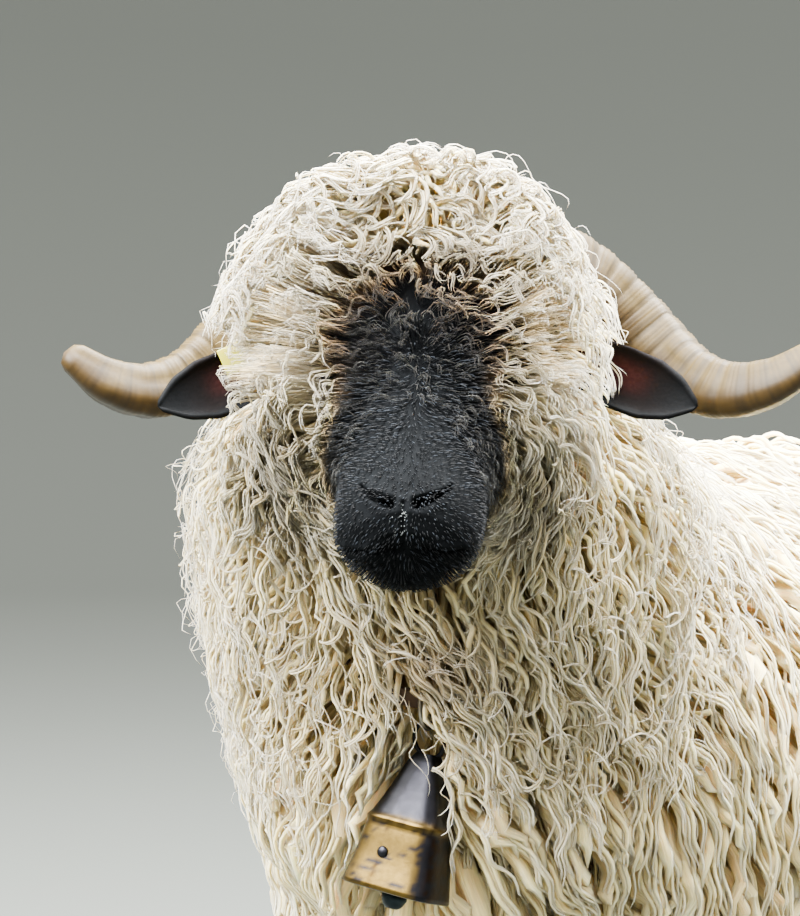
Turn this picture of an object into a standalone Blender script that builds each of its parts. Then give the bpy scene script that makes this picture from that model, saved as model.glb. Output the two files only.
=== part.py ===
"""A Valais blacknose sheep, life size, standing with its head turned towards the viewer.

Metres, +Z up. The sheep faces -Y and its left side is +X. The origin is on the floor, at
the middle of the model's bounding box. Sizes are named below. Each body part is a field
of distance from the skin, from which its core, its coat and the lie of its locks come.
"""

import math
import random

import bmesh
import bpy
import numpy as np
from mathutils import Matrix, Vector

GAP = 0.0003
UP = Vector((0, 0, 1))
SIDES = (("left", 1), ("right", -1))

# The skin of trunk, neck, shoulders and thighs, as spheres along lines: x, y, z, radius.
TRUNK = (
    (0.0, -0.345, 0.545, 0.110),
    (0.0, -0.210, 0.560, 0.172),
    (0.0, -0.020, 0.552, 0.184),
    (0.0, 0.140, 0.561, 0.178),
    (0.0, 0.272, 0.596, 0.150),
    (0.0, 0.358, 0.628, 0.092),
)
NECK = (
    (0.0, -0.250, 0.610, 0.140),
    (0.006, -0.360, 0.690, 0.118),
    (0.022, -0.430, 0.780, 0.098),
    (0.036, -0.475, 0.862, 0.080),
)
SHOULDER = ((0.095, -0.220, 0.520, 0.095), (0.112, -0.235, 0.400, 0.058))
THIGH = ((0.080, 0.252, 0.560, 0.125), (0.108, 0.302, 0.420, 0.070))

# The head: the middle of the skull, where it points, and its sections from poll to lips.
SKULL = Vector((0.042, -0.505, 0.880))
HEAD_YAW = math.radians(22)
HEAD_PITCH = math.radians(38)
LEVEL = Vector((math.sin(HEAD_YAW), -math.cos(HEAD_YAW), 0.0))
LEFT = Vector((math.cos(HEAD_YAW), math.sin(HEAD_YAW), 0.0))
NOSE = LEVEL * math.cos(HEAD_PITCH) - UP * math.sin(HEAD_PITCH)
CROWN = NOSE.cross(LEFT)
HEAD_SECTIONS = (  # along the nose, half width, above, below
    (-0.058, 0.028, 0.028, 0.028),
    (-0.030, 0.055, 0.055, 0.058),
    (0.005, 0.062, 0.066, 0.076),
    (0.050, 0.066, 0.062, 0.082),
    (0.090, 0.055, 0.052, 0.074),
    (0.130, 0.047, 0.043, 0.062),
    (0.165, 0.0450, 0.0375, 0.055),
    (0.190, 0.0465, 0.0355, 0.052),
    (0.206, 0.0465, 0.0340, 0.050),
    (0.219, 0.0445, 0.0310, 0.047),
    (0.229, 0.0385, 0.0250, 0.041),
    (0.236, 0.0270, 0.0150, 0.030),
)
SMOOTHING = 0.022

# The depth of the coat from skin to tips.
BACK_COAT, FLANK_COAT, BELLY_COAT = 0.050, 0.085, 0.060
NAPE_COAT, RUFF_COAT = 0.062, 0.080
CROWN_COAT, CHEEK_COAT, THROAT_COAT = 0.082, 0.090, 0.070
FACE_COAT = 0.002
WOOL_LINE_TOP, WOOL_LINE_SIDE, WOOL_LINE_THROAT = 0.078, 0.112, 0.125
WOOL_LINE_SOFTNESS = 0.044

# Where the coat is parted by thin cuts: a point and the way to the headward piece.
NECK_CUT = (Vector((0.0, -0.335, 0.665)), Vector((0.0, -0.75, 0.66)).normalized())
HEAD_CUT = (Vector((0.034, -0.478, 0.845)), Vector((0.22, -0.76, 0.61)).normalized())

EYE_RADIUS = 0.0142
EYE_PLACE = (0.050, 0.0575, 0.022)


def at_head(along, side, above):
    return SKULL + NOSE * along + LEFT * side + CROWN * above


def by_head(side, back, above):
    """A point beside the skull, in level axes: out, behind and above its middle."""
    return SKULL + LEFT * side - LEVEL * back + UP * above


def rise(low, high, value):
    share = np.clip((value - low) / (high - low), 0.0, 1.0)
    return share * share * (3 - 2 * share)


def line_distance(points, spheres):
    """Distance from points to each stretch of a line of spheres."""
    found = []
    for first, second in zip(spheres, spheres[1:]):
        a, b = np.array(first[:3]), np.array(second[:3])
        along = np.clip((points - a) @ (b - a) / ((b - a) @ (b - a)), 0.0, 1.0)
        middle = a + along[:, None] * (b - a)
        radius = first[3] + along * (second[3] - first[3])
        found.append(np.linalg.norm(points - middle, axis=1) - radius)
    return found


def mirrored(spheres):
    return tuple((-x, y, z, r) for x, y, z, r in spheres)


def joined(distances):
    stack = np.array(distances)
    least = stack.min(axis=0)
    return least - SMOOTHING * np.log(np.exp((least - stack) / SMOOTHING).sum(axis=0))


def head_local(points):
    offset = points - np.array(SKULL)
    return offset @ np.array(NOSE), offset @ np.array(LEFT), offset @ np.array(CROWN)


def head_distance(points):
    along, side, above = head_local(points)
    table = np.array(HEAD_SECTIONS)
    held = np.clip(along, table[0, 0], table[-1, 0])
    half, top, under = (np.interp(held, table[:, 0], table[:, i]) for i in (1, 2, 3))
    middle, height = (top - under) / 2, (top + under) / 2
    ring = np.hypot(side / half, (above - middle) / height)
    radial = (ring - 1) * np.minimum(half, height)
    beyond = np.abs(along - held)
    return np.where(beyond > 0, np.hypot(np.maximum(radial, 0), beyond), radial)


def part_distances(points):
    limbs = [SHOULDER, mirrored(SHOULDER), THIGH, mirrored(THIGH)]
    trunk = joined([d for line in [TRUNK, *limbs] for d in line_distance(points, line)])
    neck = joined(line_distance(points, NECK))
    return trunk, neck, head_distance(points)


def skin_distance(points):
    return joined(part_distances(points))


def slope(field, points, step=0.002):
    """The unit gradient of a field: the way out of the skin."""
    grown = np.stack(
        [field(points + step * axis) - field(points - step * axis) for axis in np.eye(3)],
        axis=1,
    )
    return grown / np.maximum(np.linalg.norm(grown, axis=1, keepdims=True), 1e-9)


def head_coat(points):
    along, side, above = head_local(points)
    turn = np.arctan2(np.abs(side), above)
    top, under = rise(1.35, 0.25, turn), rise(1.9, 2.8, turn)
    flank = 1 - top - under
    full = CROWN_COAT * top + CHEEK_COAT * flank + THROAT_COAT * under
    line = WOOL_LINE_TOP * top + WOOL_LINE_SIDE * flank + WOOL_LINE_THROAT * under
    woolly = rise(line + WOOL_LINE_SOFTNESS, line - WOOL_LINE_SOFTNESS, along)
    offset = np.stack([along, np.abs(side), above]) - np.array(EYE_PLACE)[:, None]
    woolly = woolly * rise(EYE_RADIUS * 1.3, EYE_RADIUS * 3.4, np.linalg.norm(offset, axis=0))
    return FACE_COAT + (full - FACE_COAT) * woolly


def coat_depth(points):
    """From the skin to the tips, blended from trunk, neck and head."""
    distances = np.array(part_distances(points))
    weights = np.exp((distances.min(axis=0) - distances) / 0.03)
    weights /= weights.sum(axis=0)
    out = slope(skin_distance, points)[:, 2]
    back, belly = rise(0.2, 0.9, out), rise(-0.3, -0.8, out)
    trunk = FLANK_COAT + (BACK_COAT - FLANK_COAT) * back + (BELLY_COAT - FLANK_COAT) * belly
    neck = RUFF_COAT + (NAPE_COAT - RUFF_COAT) * back
    return weights[0] * trunk + weights[1] * neck + weights[2] * head_coat(points)


def finish(color, roughness, metallic=0.0):
    name = "finish_%02x%02x%02x_%d" % (*(int(255 * c) for c in color), int(100 * roughness))
    made = bpy.data.materials.get(name) or bpy.data.materials.new(name)
    made.use_nodes = True
    shader = made.node_tree.nodes["Principled BSDF"]
    shader.inputs["Base Color"].default_value = (*color, 1.0)
    shader.inputs["Roughness"].default_value = roughness
    shader.inputs["Metallic"].default_value = metallic
    return made


FLEECE = finish((0.80, 0.74, 0.62), 0.95)
BLACK_WOOL = finish((0.02, 0.02, 0.022), 0.85)
HORN = finish((0.55, 0.42, 0.26), 0.55)
HOOF = finish((0.06, 0.05, 0.04), 0.5)
EYE = finish((0.03, 0.02, 0.01), 0.08)
IRON = finish((0.36, 0.34, 0.33), 0.45, 1.0)
STRAP = finish((0.10, 0.06, 0.035), 0.7)
TAG = finish((0.80, 0.78, 0.12), 0.45)


def add_mesh(name, points, faces, material):
    mesh = bpy.data.meshes.new(name)
    mesh.from_pydata([tuple(p) for p in points], [], faces)
    mesh.materials.append(material)
    made = bpy.data.objects.new(name, mesh)
    bpy.context.scene.collection.objects.link(made)
    work = bmesh.new()
    work.from_mesh(mesh)
    bmesh.ops.triangulate(work, faces=work.faces)
    bmesh.ops.recalc_face_normals(work, faces=work.faces)
    if work.calc_volume(signed=True) < 0:
        bmesh.ops.reverse_faces(work, faces=work.faces)
    work.to_mesh(mesh)
    work.free()
    return made


def ring_faces(rings, sides, start=0):
    """Quads between rings of points, each ring with the same number of sides."""
    faces = []
    for ring in range(rings - 1):
        for side in range(sides):
            near = start + ring * sides
            following = (side + 1) % sides
            faces.append((near + side, near + following, near + sides + following, near + sides + side))
    return faces


def loft(name, rings, material, tip=None, tail=None):
    """A closed solid through rings of points, with flat or pointed ends."""
    sides = len(rings[0])
    points = [p for ring in rings for p in ring]
    faces = ring_faces(len(rings), sides)
    for pole, first in ((tail, 0), (tip, (len(rings) - 1) * sides)):
        loop = [first + i for i in range(sides)]
        if pole is None:
            faces.append(loop if first else loop[::-1])
            continue
        points.append(pole)
        last = len(points) - 1
        faces += [(loop[i], loop[(i + 1) % sides], last) for i in range(sides)]
    return add_mesh(name, points, faces, material)


def modify(solid, kind, **settings):
    """Adds a modifier with its settings, and applies it."""
    added = solid.modifiers.new(kind.title(), kind)
    for key, value in settings.items():
        setattr(added, key, value)
    bpy.context.view_layer.objects.active = solid
    with bpy.context.temp_override(object=solid):
        bpy.ops.object.modifier_apply(modifier=added.name)


def keep_largest(solid):
    """Drops every closed surface but the one with the largest volume."""

    def volume(island):
        return sum(f.verts[0].co.dot(f.verts[1].co.cross(f.verts[2].co)) for f in island)

    work = bmesh.new()
    work.from_mesh(solid.data)
    work.faces.ensure_lookup_table()
    islands, seen = [], set()
    for face in work.faces:
        if face.index in seen:
            continue
        island, stack = [], [face]
        seen.add(face.index)
        while stack:
            here = stack.pop()
            island.append(here)
            for edge in here.edges:
                for other in edge.link_faces:
                    if other.index not in seen:
                        seen.add(other.index)
                        stack.append(other)
        islands.append(island)
    islands.sort(key=volume, reverse=True)
    dropped = [f for island in islands[1:] for f in island]
    bmesh.ops.delete(work, geom=dropped, context="FACES")
    work.to_mesh(solid.data)
    work.free()


def combine(solid, others, operation, solver="EXACT"):
    """One Boolean of a collection of closed meshes, which are then removed."""
    group = bpy.data.collections.new("pieces")
    bpy.context.scene.collection.children.link(group)
    for other in others:
        bpy.context.scene.collection.objects.unlink(other)
        group.objects.link(other)
    modify(
        solid,
        "BOOLEAN",
        operation=operation,
        operand_type="COLLECTION",
        collection=group,
        solver=solver,
    )
    for other in list(group.objects):
        bpy.data.objects.remove(other)
    bpy.data.collections.remove(group)
    work = bmesh.new()
    work.from_mesh(solid.data)
    bmesh.ops.triangulate(work, faces=work.faces)
    work.to_mesh(solid.data)
    work.free()
    return solid


def duplicate(solid, name):
    copy = solid.copy()
    copy.data = solid.data.copy()
    copy.name = name
    bpy.context.scene.collection.objects.link(copy)
    return copy


def reach(field, centres, ways, target, furthest=0.5):
    """How far out of each centre a field rises to its target, found by halving."""
    low, high = np.zeros(len(centres)), np.full(len(centres), furthest)
    for _ in range(26):
        middle = (low + high) / 2
        points = centres + middle[:, None] * ways
        outside = field(points) > target(points)
        low, high = np.where(outside, low, middle), np.where(outside, middle, high)
    return centres + ((low + high) / 2)[:, None] * ways


def body_rings(field, target, line, stations, sides, lean=(0.0, 0.0, 1.0)):
    """Rings of points round a line of spheres, domed at both ends, and the two poles."""
    spine = [Vector(p[:3]) for p in line]
    lengths = np.cumsum([0.0] + [(b - a).length for a, b in zip(spine, spine[1:])])
    centres, tilts, ways = [], [], []
    dome = [math.radians(a) for a in (60, 30)]
    marks = [(0.0, -a) for a in dome]
    marks += [(lengths[-1] * i / (stations - 1), 0.0) for i in range(stations)]
    marks += [(lengths[-1], a) for a in dome[::-1]]
    for place, tilt in marks:
        centres.append([np.interp(place, lengths, [p[i] for p in spine]) for i in range(3)])
        tilts.append(tilt)
        here = min(max(np.searchsorted(lengths, place) - 1, 0), len(spine) - 2)
        ways.append((spine[here + 1] - spine[here]).normalized())
    smooth = [sum(ways[max(0, i - 1) : i + 2], Vector()).normalized() for i in range(len(ways))]
    starts, rays = [], []
    for centre, tilt, way in zip(centres, tilts, smooth):
        side = way.cross(Vector(lean)).normalized()
        top = side.cross(way)
        for i in range(sides):
            turn = 2 * math.pi * i / sides
            radial = side * math.sin(turn) + top * math.cos(turn)
            starts.append(centre)
            rays.append(radial * math.cos(tilt) + way * math.sin(tilt))
    starts += [centres[0], centres[-1]]
    rays += [-smooth[0], smooth[-1]]
    found = reach(field, np.array(starts), np.array(rays), target)
    rings = [found[i * sides : (i + 1) * sides] for i in range(len(marks))]
    return rings, found[-2], found[-1]


def own_field(which):
    return lambda points: part_distances(points)[which]


def coat_level(share):
    return lambda points: share * coat_depth(points)


def trunk_core(share):
    rings, tail, tip = body_rings(own_field(0), coat_level(share), TRUNK, 7, 14)
    return loft("torso", rings, FLEECE, tip, tail)


def neck_core(share):
    rings, tail, tip = body_rings(own_field(1), coat_level(share), NECK, 4, 12)
    return loft("neck", rings, FLEECE, tip, tail)


def head_section(along):
    table = np.array(HEAD_SECTIONS)
    return [float(np.interp(along, table[:, 0], table[:, i])) for i in (1, 2, 3)]


def head_core(share, sides=20):
    """The head from poll to lips, its rings pushed out by a share of the coat."""
    stations = [-0.058, -0.035, -0.01, 0.02, 0.05, 0.075, 0.098, 0.118]
    stations += [0.135, 0.152, 0.17, 0.187, 0.202, 0.213, 0.222, 0.230, 0.236]
    rings = []
    for along in stations:
        half, top, under = head_section(along)
        ring = []
        for i in range(sides):
            turn = 2 * math.pi * i / sides
            across, height = math.sin(turn), math.cos(turn)
            squared = (abs(across) ** 2.5 + abs(height) ** 2.5) ** (-1 / 2.5)
            side = half * across * squared
            above = (top if height > 0 else under) * height * squared
            ring.append(at_head(along, side, above))
        points = np.array(ring)
        push = share * head_coat(points)
        out = slope(head_distance, points)
        rings.append(points + push[:, None] * out)
    lips, poll = at_head(0.241, 0, -0.008), at_head(-0.062 - 0.07 * share, 0, 0)
    return loft("head", rings, FLEECE, lips, poll)


def sweep(path, halves, sides, reference):
    """Rings round a path; each has two half widths, across the reference and along it."""
    spine = [Vector(p) for p in path]
    rings = []
    for i, centre in enumerate(spine):
        way = (spine[min(i + 1, len(spine) - 1)] - spine[max(i - 1, 0)]).normalized()
        up = reference[i] if isinstance(reference, list) else reference
        across = way.cross(up).normalized()
        top = across.cross(way)
        wide, deep = halves[i]
        ring = []
        for j in range(sides):
            turn = 2 * math.pi * j / sides
            ring.append(centre + across * wide * math.sin(turn) + top * deep * math.cos(turn))
        rings.append(ring)
    return rings


def smooth_path(points, count):
    """Points spread evenly along a Catmull-Rom curve through points of any width."""
    knots = np.array(points, dtype=float)
    knots = np.vstack([2 * knots[0] - knots[1], knots, 2 * knots[-1] - knots[-2]])
    fine = []
    for i in range(1, len(knots) - 2):
        a, b, c, d = knots[i - 1 : i + 3]
        for t in np.linspace(0, 1, 12, endpoint=i == len(knots) - 3):
            bend = (2 * a - 5 * b + 4 * c - d) * t**2 + (3 * b - a - 3 * c + d) * t**3
            fine.append(0.5 * (2 * b + (c - a) * t + bend))
    fine = np.array(fine)
    run = np.concatenate([[0], np.cumsum(np.linalg.norm(np.diff(fine[:, :3], axis=0), axis=1))])
    marks = np.linspace(0, run[-1], count)
    return np.stack([np.interp(marks, run, fine[:, i]) for i in range(fine.shape[1])], axis=1)


def closed_ring(name, centre, first, second, wire, steps, sides, material):
    """A wire bent round an oval, given by its two half axes."""
    rings = []
    facing = first.cross(second).normalized()
    for i in range(steps):
        turn = 2 * math.pi * i / steps
        out = first * math.cos(turn) + second * math.sin(turn)
        along = second * math.cos(turn) - first * math.sin(turn)
        across = along.cross(facing).normalized()
        ring = []
        for j in range(sides):
            bend = 2 * math.pi * j / sides
            round_wire = across * wire[0] * math.cos(bend) + facing * wire[1] * math.sin(bend)
            ring.append(centre + out + round_wire)
        rings.append(ring)
    points = [p for ring in rings for p in ring]
    faces = ring_faces(steps, sides)
    last = (steps - 1) * sides
    for j in range(sides):
        following = (j + 1) % sides
        faces.append((last + j, last + following, following, j))
    return add_mesh(name, points, faces, material)


def ball(name, centre, axes, material, steps=16, rows=10):
    """An ellipsoid with half axes given as three vectors."""
    rings = []
    for row in range(1, rows):
        tilt = math.pi * row / rows - math.pi / 2
        ring = []
        for j in range(steps):
            turn = 2 * math.pi * j / steps
            round_part = axes[0] * math.cos(turn) + axes[1] * math.sin(turn)
            ring.append(centre + round_part * math.cos(tilt) + axes[2] * math.sin(tilt))
        rings.append(ring)
    return loft(name, rings, material, centre + axes[2], centre - axes[2])


def box(name, centre, axes, material):
    """A box with half sides given as three vectors."""
    corners = [(a, b, c) for a in (-1, 1) for b in (-1, 1) for c in (-1, 1)]
    points = [centre + axes[0] * a + axes[1] * b + axes[2] * c for a, b, c in corners]
    faces = [(0, 1, 3, 2), (4, 6, 7, 5), (0, 4, 5, 1), (2, 3, 7, 6), (0, 2, 6, 4), (1, 5, 7, 3)]
    return add_mesh(name, points, faces, material)


# The ears: leaf-shaped cups, from the root beside the poll to the tip.
EAR_ROOT, EAR_TIP = (0.062, 0.000, 0.004), (0.190, -0.022, -0.054)
EAR_THICKNESS = 0.0034
EAR_PROFILE = (  # share of the length, half width, depth of the back, depth of the cup
    (0.00, 0.0130, 0.0110, -0.0110),
    (0.16, 0.0150, 0.0120, -0.0090),
    (0.30, 0.0180, 0.0130, 0.0000),
    (0.42, 0.0215, 0.0140, 0.0095),
    (0.58, 0.0240, 0.0125, 0.0090),
    (0.74, 0.0225, 0.0100, 0.0066),
    (0.88, 0.0155, 0.0070, 0.0038),
    (0.97, 0.0060, 0.0036, 0.0008),
)

# The horns: a spiral out of the poll, back, down and forwards, with yearly rings.
HORN_PATH = (  # out, behind and above the skull, radius
    (0.034, 0.006, 0.030, 0.0225),
    (0.052, 0.030, 0.050, 0.0240),
    (0.078, 0.060, 0.056, 0.0245),
    (0.108, 0.080, 0.040, 0.0240),
    (0.136, 0.083, 0.012, 0.0235),
    (0.158, 0.070, -0.014, 0.0230),
    (0.178, 0.046, -0.036, 0.0218),
    (0.200, 0.022, -0.044, 0.0198),
    (0.225, 0.004, -0.037, 0.0165),
    (0.247, -0.004, -0.020, 0.0115),
)
HORN_REACH = {"left": 1.10, "right": 1.03}
HORN_RINGS, HORN_SIDES = 22, 8
RING_RELIEF = 0.0009

# The feet: two claws each, and the legs above them as sections: height, place, half widths.
CLAW_LENGTH, CLAW_WIDTH, CLAW_HEIGHT, CLAW_SPREAD = 0.060, 0.0225, 0.036, 0.0128
FRONT_LEG = (
    (0.0365, 0.103, -0.2600, 0.0240, 0.0270),
    (0.0520, 0.103, -0.2520, 0.0195, 0.0210),
    (0.0850, 0.103, -0.2410, 0.0215, 0.0235),
    (0.1050, 0.103, -0.2400, 0.0170, 0.0190),
    (0.1500, 0.103, -0.2400, 0.0160, 0.0180),
    (0.2000, 0.103, -0.2440, 0.0220, 0.0240),
    (0.2350, 0.103, -0.2470, 0.0265, 0.0290),
    (0.2700, 0.104, -0.2440, 0.0270, 0.0310),
    (0.3200, 0.105, -0.2400, 0.0330, 0.0390),
    (0.4000, 0.108, -0.2360, 0.0480, 0.0560),
)
HIND_LEG = (
    (0.0365, 0.104, 0.3050, 0.0240, 0.0270),
    (0.0520, 0.104, 0.3140, 0.0195, 0.0210),
    (0.0850, 0.104, 0.3270, 0.0215, 0.0240),
    (0.1050, 0.104, 0.3300, 0.0170, 0.0195),
    (0.1600, 0.104, 0.3380, 0.0165, 0.0195),
    (0.2150, 0.104, 0.3500, 0.0190, 0.0240),
    (0.2550, 0.105, 0.3560, 0.0230, 0.0300),
    (0.2900, 0.106, 0.3450, 0.0260, 0.0340),
    (0.3400, 0.108, 0.3200, 0.0400, 0.0520),
    (0.4100, 0.110, 0.3020, 0.0580, 0.0720),
)
LEG_COAT = ((0.0365, 0.0010), (0.085, 0.0015), (0.105, 0.010), (0.16, 0.022), (0.24, 0.030), (0.41, 0.038))
SKIRT = {"front": 0.315, "hind": 0.325}

# The black markings: the face from here on, the feet below this height, and the knees.
BLACK_FACE, BLACK_FOOT, KNEE_HEIGHT, KNEE_PATCH = 0.105, 0.115, 0.232, 0.022

# The tail, as spheres, and its coat.
TAIL = (
    (0.0, 0.345, 0.660, 0.030),
    (0.0, 0.425, 0.612, 0.026),
    (0.0, 0.485, 0.520, 0.020),
    (0.0, 0.500, 0.400, 0.015),
)
TAIL_COAT = 0.034
TAIL_BARE = 0.36

# The strap round the neck, with the ring and the bell that hang from it.
STRAP_FRONT, STRAP_NAPE = Vector((0.039, -0.496, 0.616)), Vector((-0.012, -0.300, 0.801))
STRAP_HALF_WIDTH, STRAP_HALF_THICKNESS, NECK_HALF = 0.010, 0.002, 0.116
STRAP_STEPS = 28
WIRE = 0.0017
BELL_TOP = Vector((0.039, -0.496, 0.577))
BELL_YAW, BELL_TILT, BELL_ROLL = math.radians(-3), math.radians(14), math.radians(8)
BELL_WALL = 0.0028
BELL_SQUARENESS = 4.0
BELL_PROFILE = (  # below the top, half width, half depth
    (0.000, 0.0080, 0.0070),
    (0.006, 0.0115, 0.0095),
    (0.028, 0.0205, 0.0152),
    (0.047, 0.0278, 0.0208),
    (0.051, 0.0302, 0.0232),
    (0.055, 0.0293, 0.0224),
    (0.078, 0.0330, 0.0252),
    (0.100, 0.0362, 0.0277),
)
CLAPPER_LENGTH = 0.112


def eye_centre(sign):
    along, side, above = EYE_PLACE
    return at_head(along, sign * side, above)


# The mouth from its middle to a corner, and the lips: their height beside it, and thickness.
MOUTH = (  # along the nose, to the side, above
    (0.2400, 0.0000, 0.0025),
    (0.2375, 0.0150, 0.0000),
    (0.2310, 0.0270, -0.0050),
    (0.2220, 0.0360, -0.0105),
    (0.2050, 0.0430, -0.0170),
    (0.1850, 0.0450, -0.0215),
)
UPPER_LIP, LOWER_LIP = (0.0052, 0.0050), (-0.0054, 0.0048)
NOSTRIL = (  # along the nose, to the side, above, half width and half depth of the slit
    (0.2030, 0.0292, 0.0248, 0.0012, 0.004),
    (0.2090, 0.0262, 0.0259, 0.0030, 0.009),
    (0.2155, 0.0205, 0.0275, 0.0034, 0.010),
    (0.2205, 0.0140, 0.0282, 0.0024, 0.007),
    (0.2230, 0.0092, 0.0277, 0.0010, 0.003),
)


def eye_ball(name, sign, radius, material):
    out = (LEFT * sign * 0.96 + NOSE * 0.20 + CROWN * 0.18).normalized()
    along = NOSE.cross(out).cross(out).normalized()
    axes = (along * radius, out.cross(along) * radius, out * radius)
    return ball(name, eye_centre(sign), axes, material, 14, 8)


def lid_opening(sign):
    """The almond between the lids, which a cut opens in front of the eye."""
    centre = eye_centre(sign) + LEFT * sign * EYE_RADIUS
    axes = (NOSE * 0.0125 + CROWN * 0.001, CROWN * 0.0066, LEFT * sign * EYE_RADIUS * 0.72)
    return ball("lid_opening", centre, axes, EYE, 14, 6)


def eye_clearing(sign):
    """The hollow in the wool through which the eye looks out, sideways and forwards."""
    out = (LEFT * sign * 0.80 + NOSE * 0.55 + CROWN * 0.10).normalized()
    along = (NOSE * 0.80 - LEFT * sign * 0.55).normalized()
    centre = eye_centre(sign) + out * (EYE_RADIUS + 0.052)
    return ball("clearing", centre, (along * 0.026, out.cross(along) * 0.022, out * 0.050), FLEECE, 10, 6)


def mouth_line(beside, push):
    """Points from one corner of the mouth to the other, moved up and out of the muzzle."""
    right = [(along, -side, above) for along, side, above in MOUTH[:0:-1]]
    points = []
    for along, side, above in (*right, *MOUTH):
        out = (NOSE * max(0.0, along - 0.19) / 0.05 + LEFT * side / 0.046).normalized()
        points.append(at_head(along, side, above + beside) + out * push)
    return points


def mouth_cut():
    """A thin curved wedge between the lips."""
    wide, narrow = CROWN * 0.0014, CROWN * 0.0007
    lines = zip(mouth_line(0.0, 0.005), mouth_line(0.0, -0.007))
    rings = [[far + wide, near + narrow, near - narrow, far - wide] for far, near in lines]
    return loft("mouth", rings, EYE)


def lip(beside, thickness):
    path = mouth_line(beside, -thickness / 2)
    middle = len(MOUTH) - 1
    halves = [(thickness * (1 - 0.7 * abs(i / middle - 1) ** 3),) * 2 for i in range(len(path))]
    return loft("lip", sweep(path, halves, 6, CROWN), BLACK_WOOL)


def nostril_cut(sign):
    """A comma-shaped slit that turns in towards the lip."""
    path = [at_head(along, sign * side, above) for along, side, above, _, _ in NOSTRIL]
    halves = [(wide, deep) for _, _, _, wide, deep in NOSTRIL]
    out = (NOSE * 0.45 + LEFT * sign * 0.30 + CROWN * 0.85).normalized()
    return loft("nostril", sweep(path, halves, 8, out), EYE)


def philtrum_cut():
    """The groove from the nostrils down to the mouth."""
    front, deep, half = NOSE * 0.004, NOSE * 0.0035, LEFT * 0.0016
    rings = []
    for point in (at_head(0.2345, 0, 0.0165), at_head(*MOUTH[0])):
        rings.append([point + front + half, point + front - half, point - deep])
    return loft("philtrum", rings, EYE)


def ear_frame(sign):
    root = by_head(sign * EAR_ROOT[0], EAR_ROOT[1], EAR_ROOT[2])
    tip = by_head(sign * EAR_TIP[0], EAR_TIP[1], EAR_TIP[2])
    along = (tip - root).normalized()
    face = (LEVEL * 0.90 - UP * 0.16 + LEFT * sign * 0.35).normalized()
    across = along.cross(face).normalized() * sign
    return root, tip, across, across.cross(along).normalized() * sign


def ear(name, sign):
    """A cup open to the front, closed to a tube at its root."""
    root, tip, across, face = ear_frame(sign)
    rings = []
    for share, half, back, cup in EAR_PROFILE:
        centre = root.lerp(tip, share)
        ring = []
        for step in range(9):
            turn = math.pi * (step / 8 - 0.5)
            ring.append(centre + across * half * math.sin(turn) - face * back * math.cos(turn))
        inner = half - EAR_THICKNESS if cup > 0 else half * 0.8
        for step in range(1, 8):
            turn = math.pi * (0.5 - step / 8)
            ring.append(centre + across * inner * math.sin(turn) - face * cup * math.cos(turn))
        rings.append(ring)
    return loft(name, rings, BLACK_WOOL, tip)


def ear_sleeve(sign):
    """The room that the head keeps for an ear: its tube and the space before its cup."""
    root, tip, across, face = ear_frame(sign)
    rings = []
    for share, half, back, cup in EAR_PROFILE[:-1]:
        centre = root.lerp(tip, share) - (tip - root) * (0.0024 if share == 0 else 0)
        front = -min(cup, 0) + 0.022 * share
        ring = []
        for step in range(16):
            turn = 2 * math.pi * step / 16
            deep = face * math.cos(turn) * ((back if math.cos(turn) > 0 else front) + GAP)
            ring.append(centre + across * (half + GAP * 1.2) * math.sin(turn) - deep)
        rings.append(ring)
    return loft("ear_sleeve", rings, FLEECE, tip + (tip - root) * 0.3)


def horn_rings(which, sign, grow):
    reach = HORN_REACH[which]
    knots = [(out * (1 + (reach - 1) * out / 0.25), back, above, r) for out, back, above, r in HORN_PATH]
    path = smooth_path(knots, HORN_RINGS)
    rings = []
    places = [by_head(sign * p[0], p[1], p[2]) for p in path]
    for i, centre in enumerate(places):
        way = (places[min(i + 1, HORN_RINGS - 1)] - places[max(i - 1, 0)]).normalized()
        across = way.cross(UP).normalized()
        top = across.cross(way)
        relief = RING_RELIEF * (1 if i % 2 else -1) if 2 < i < HORN_RINGS - 4 else 0.0
        radius = path[i][3] + (relief if grow == 0 else RING_RELIEF) + grow
        ring = []
        for j in range(HORN_SIDES):
            turn = 2 * math.pi * j / HORN_SIDES
            keel = 1 + 0.16 * math.cos(3 * turn)
            ring.append(centre + (across * math.sin(turn) * 0.92 + top * math.cos(turn)) * radius * keel)
        rings.append(ring)
    end = places[-1] + (places[-1] - places[-2]).normalized() * path[-1][3] * 0.75
    return rings, end


def horn(name, which, sign):
    rings, end = horn_rings(which, sign, 0.0)
    return loft(name, rings, HORN, end)


def horn_sleeve(which, sign):
    rings, end = horn_rings(which, sign, GAP * 1.6)
    inward = (rings[0][0] - rings[1][0]).normalized() * GAP
    rings[0] = [p + inward for p in rings[0]]
    return loft("horn_sleeve", rings, HORN, end)


def leg_coat(height):
    table = np.array(LEG_COAT)
    return float(np.interp(height, table[:, 0], table[:, 1]))


def leg_rings(sections, sign, share, grow=0.0, low=0.0, sides=10):
    """Level rings of a leg; above the body's skirt the coat is full, so that it meets it."""
    table = np.array(sections)
    heights = [z for z in np.linspace(table[0, 0], table[-1, 0], 10) if z >= low]
    skirt = SKIRT["front"] if table[0, 2] < 0 else SKIRT["hind"]
    rings = []
    for z in heights:
        x, y, wide, deep = (float(np.interp(z, table[:, 0], table[:, i])) for i in (1, 2, 3, 4))
        level = share + (1 - share) * float(rise(skirt - 0.035, skirt - 0.005, z))
        coat = level * leg_coat(z) + grow
        ring = []
        for j in range(sides):
            turn = 2 * math.pi * j / sides
            out = Vector(((wide + coat) * math.cos(turn), (deep + coat) * math.sin(turn), z))
            ring.append(out + Vector((sign * x, y, 0)))
        rings.append(ring)
    return rings


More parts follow.
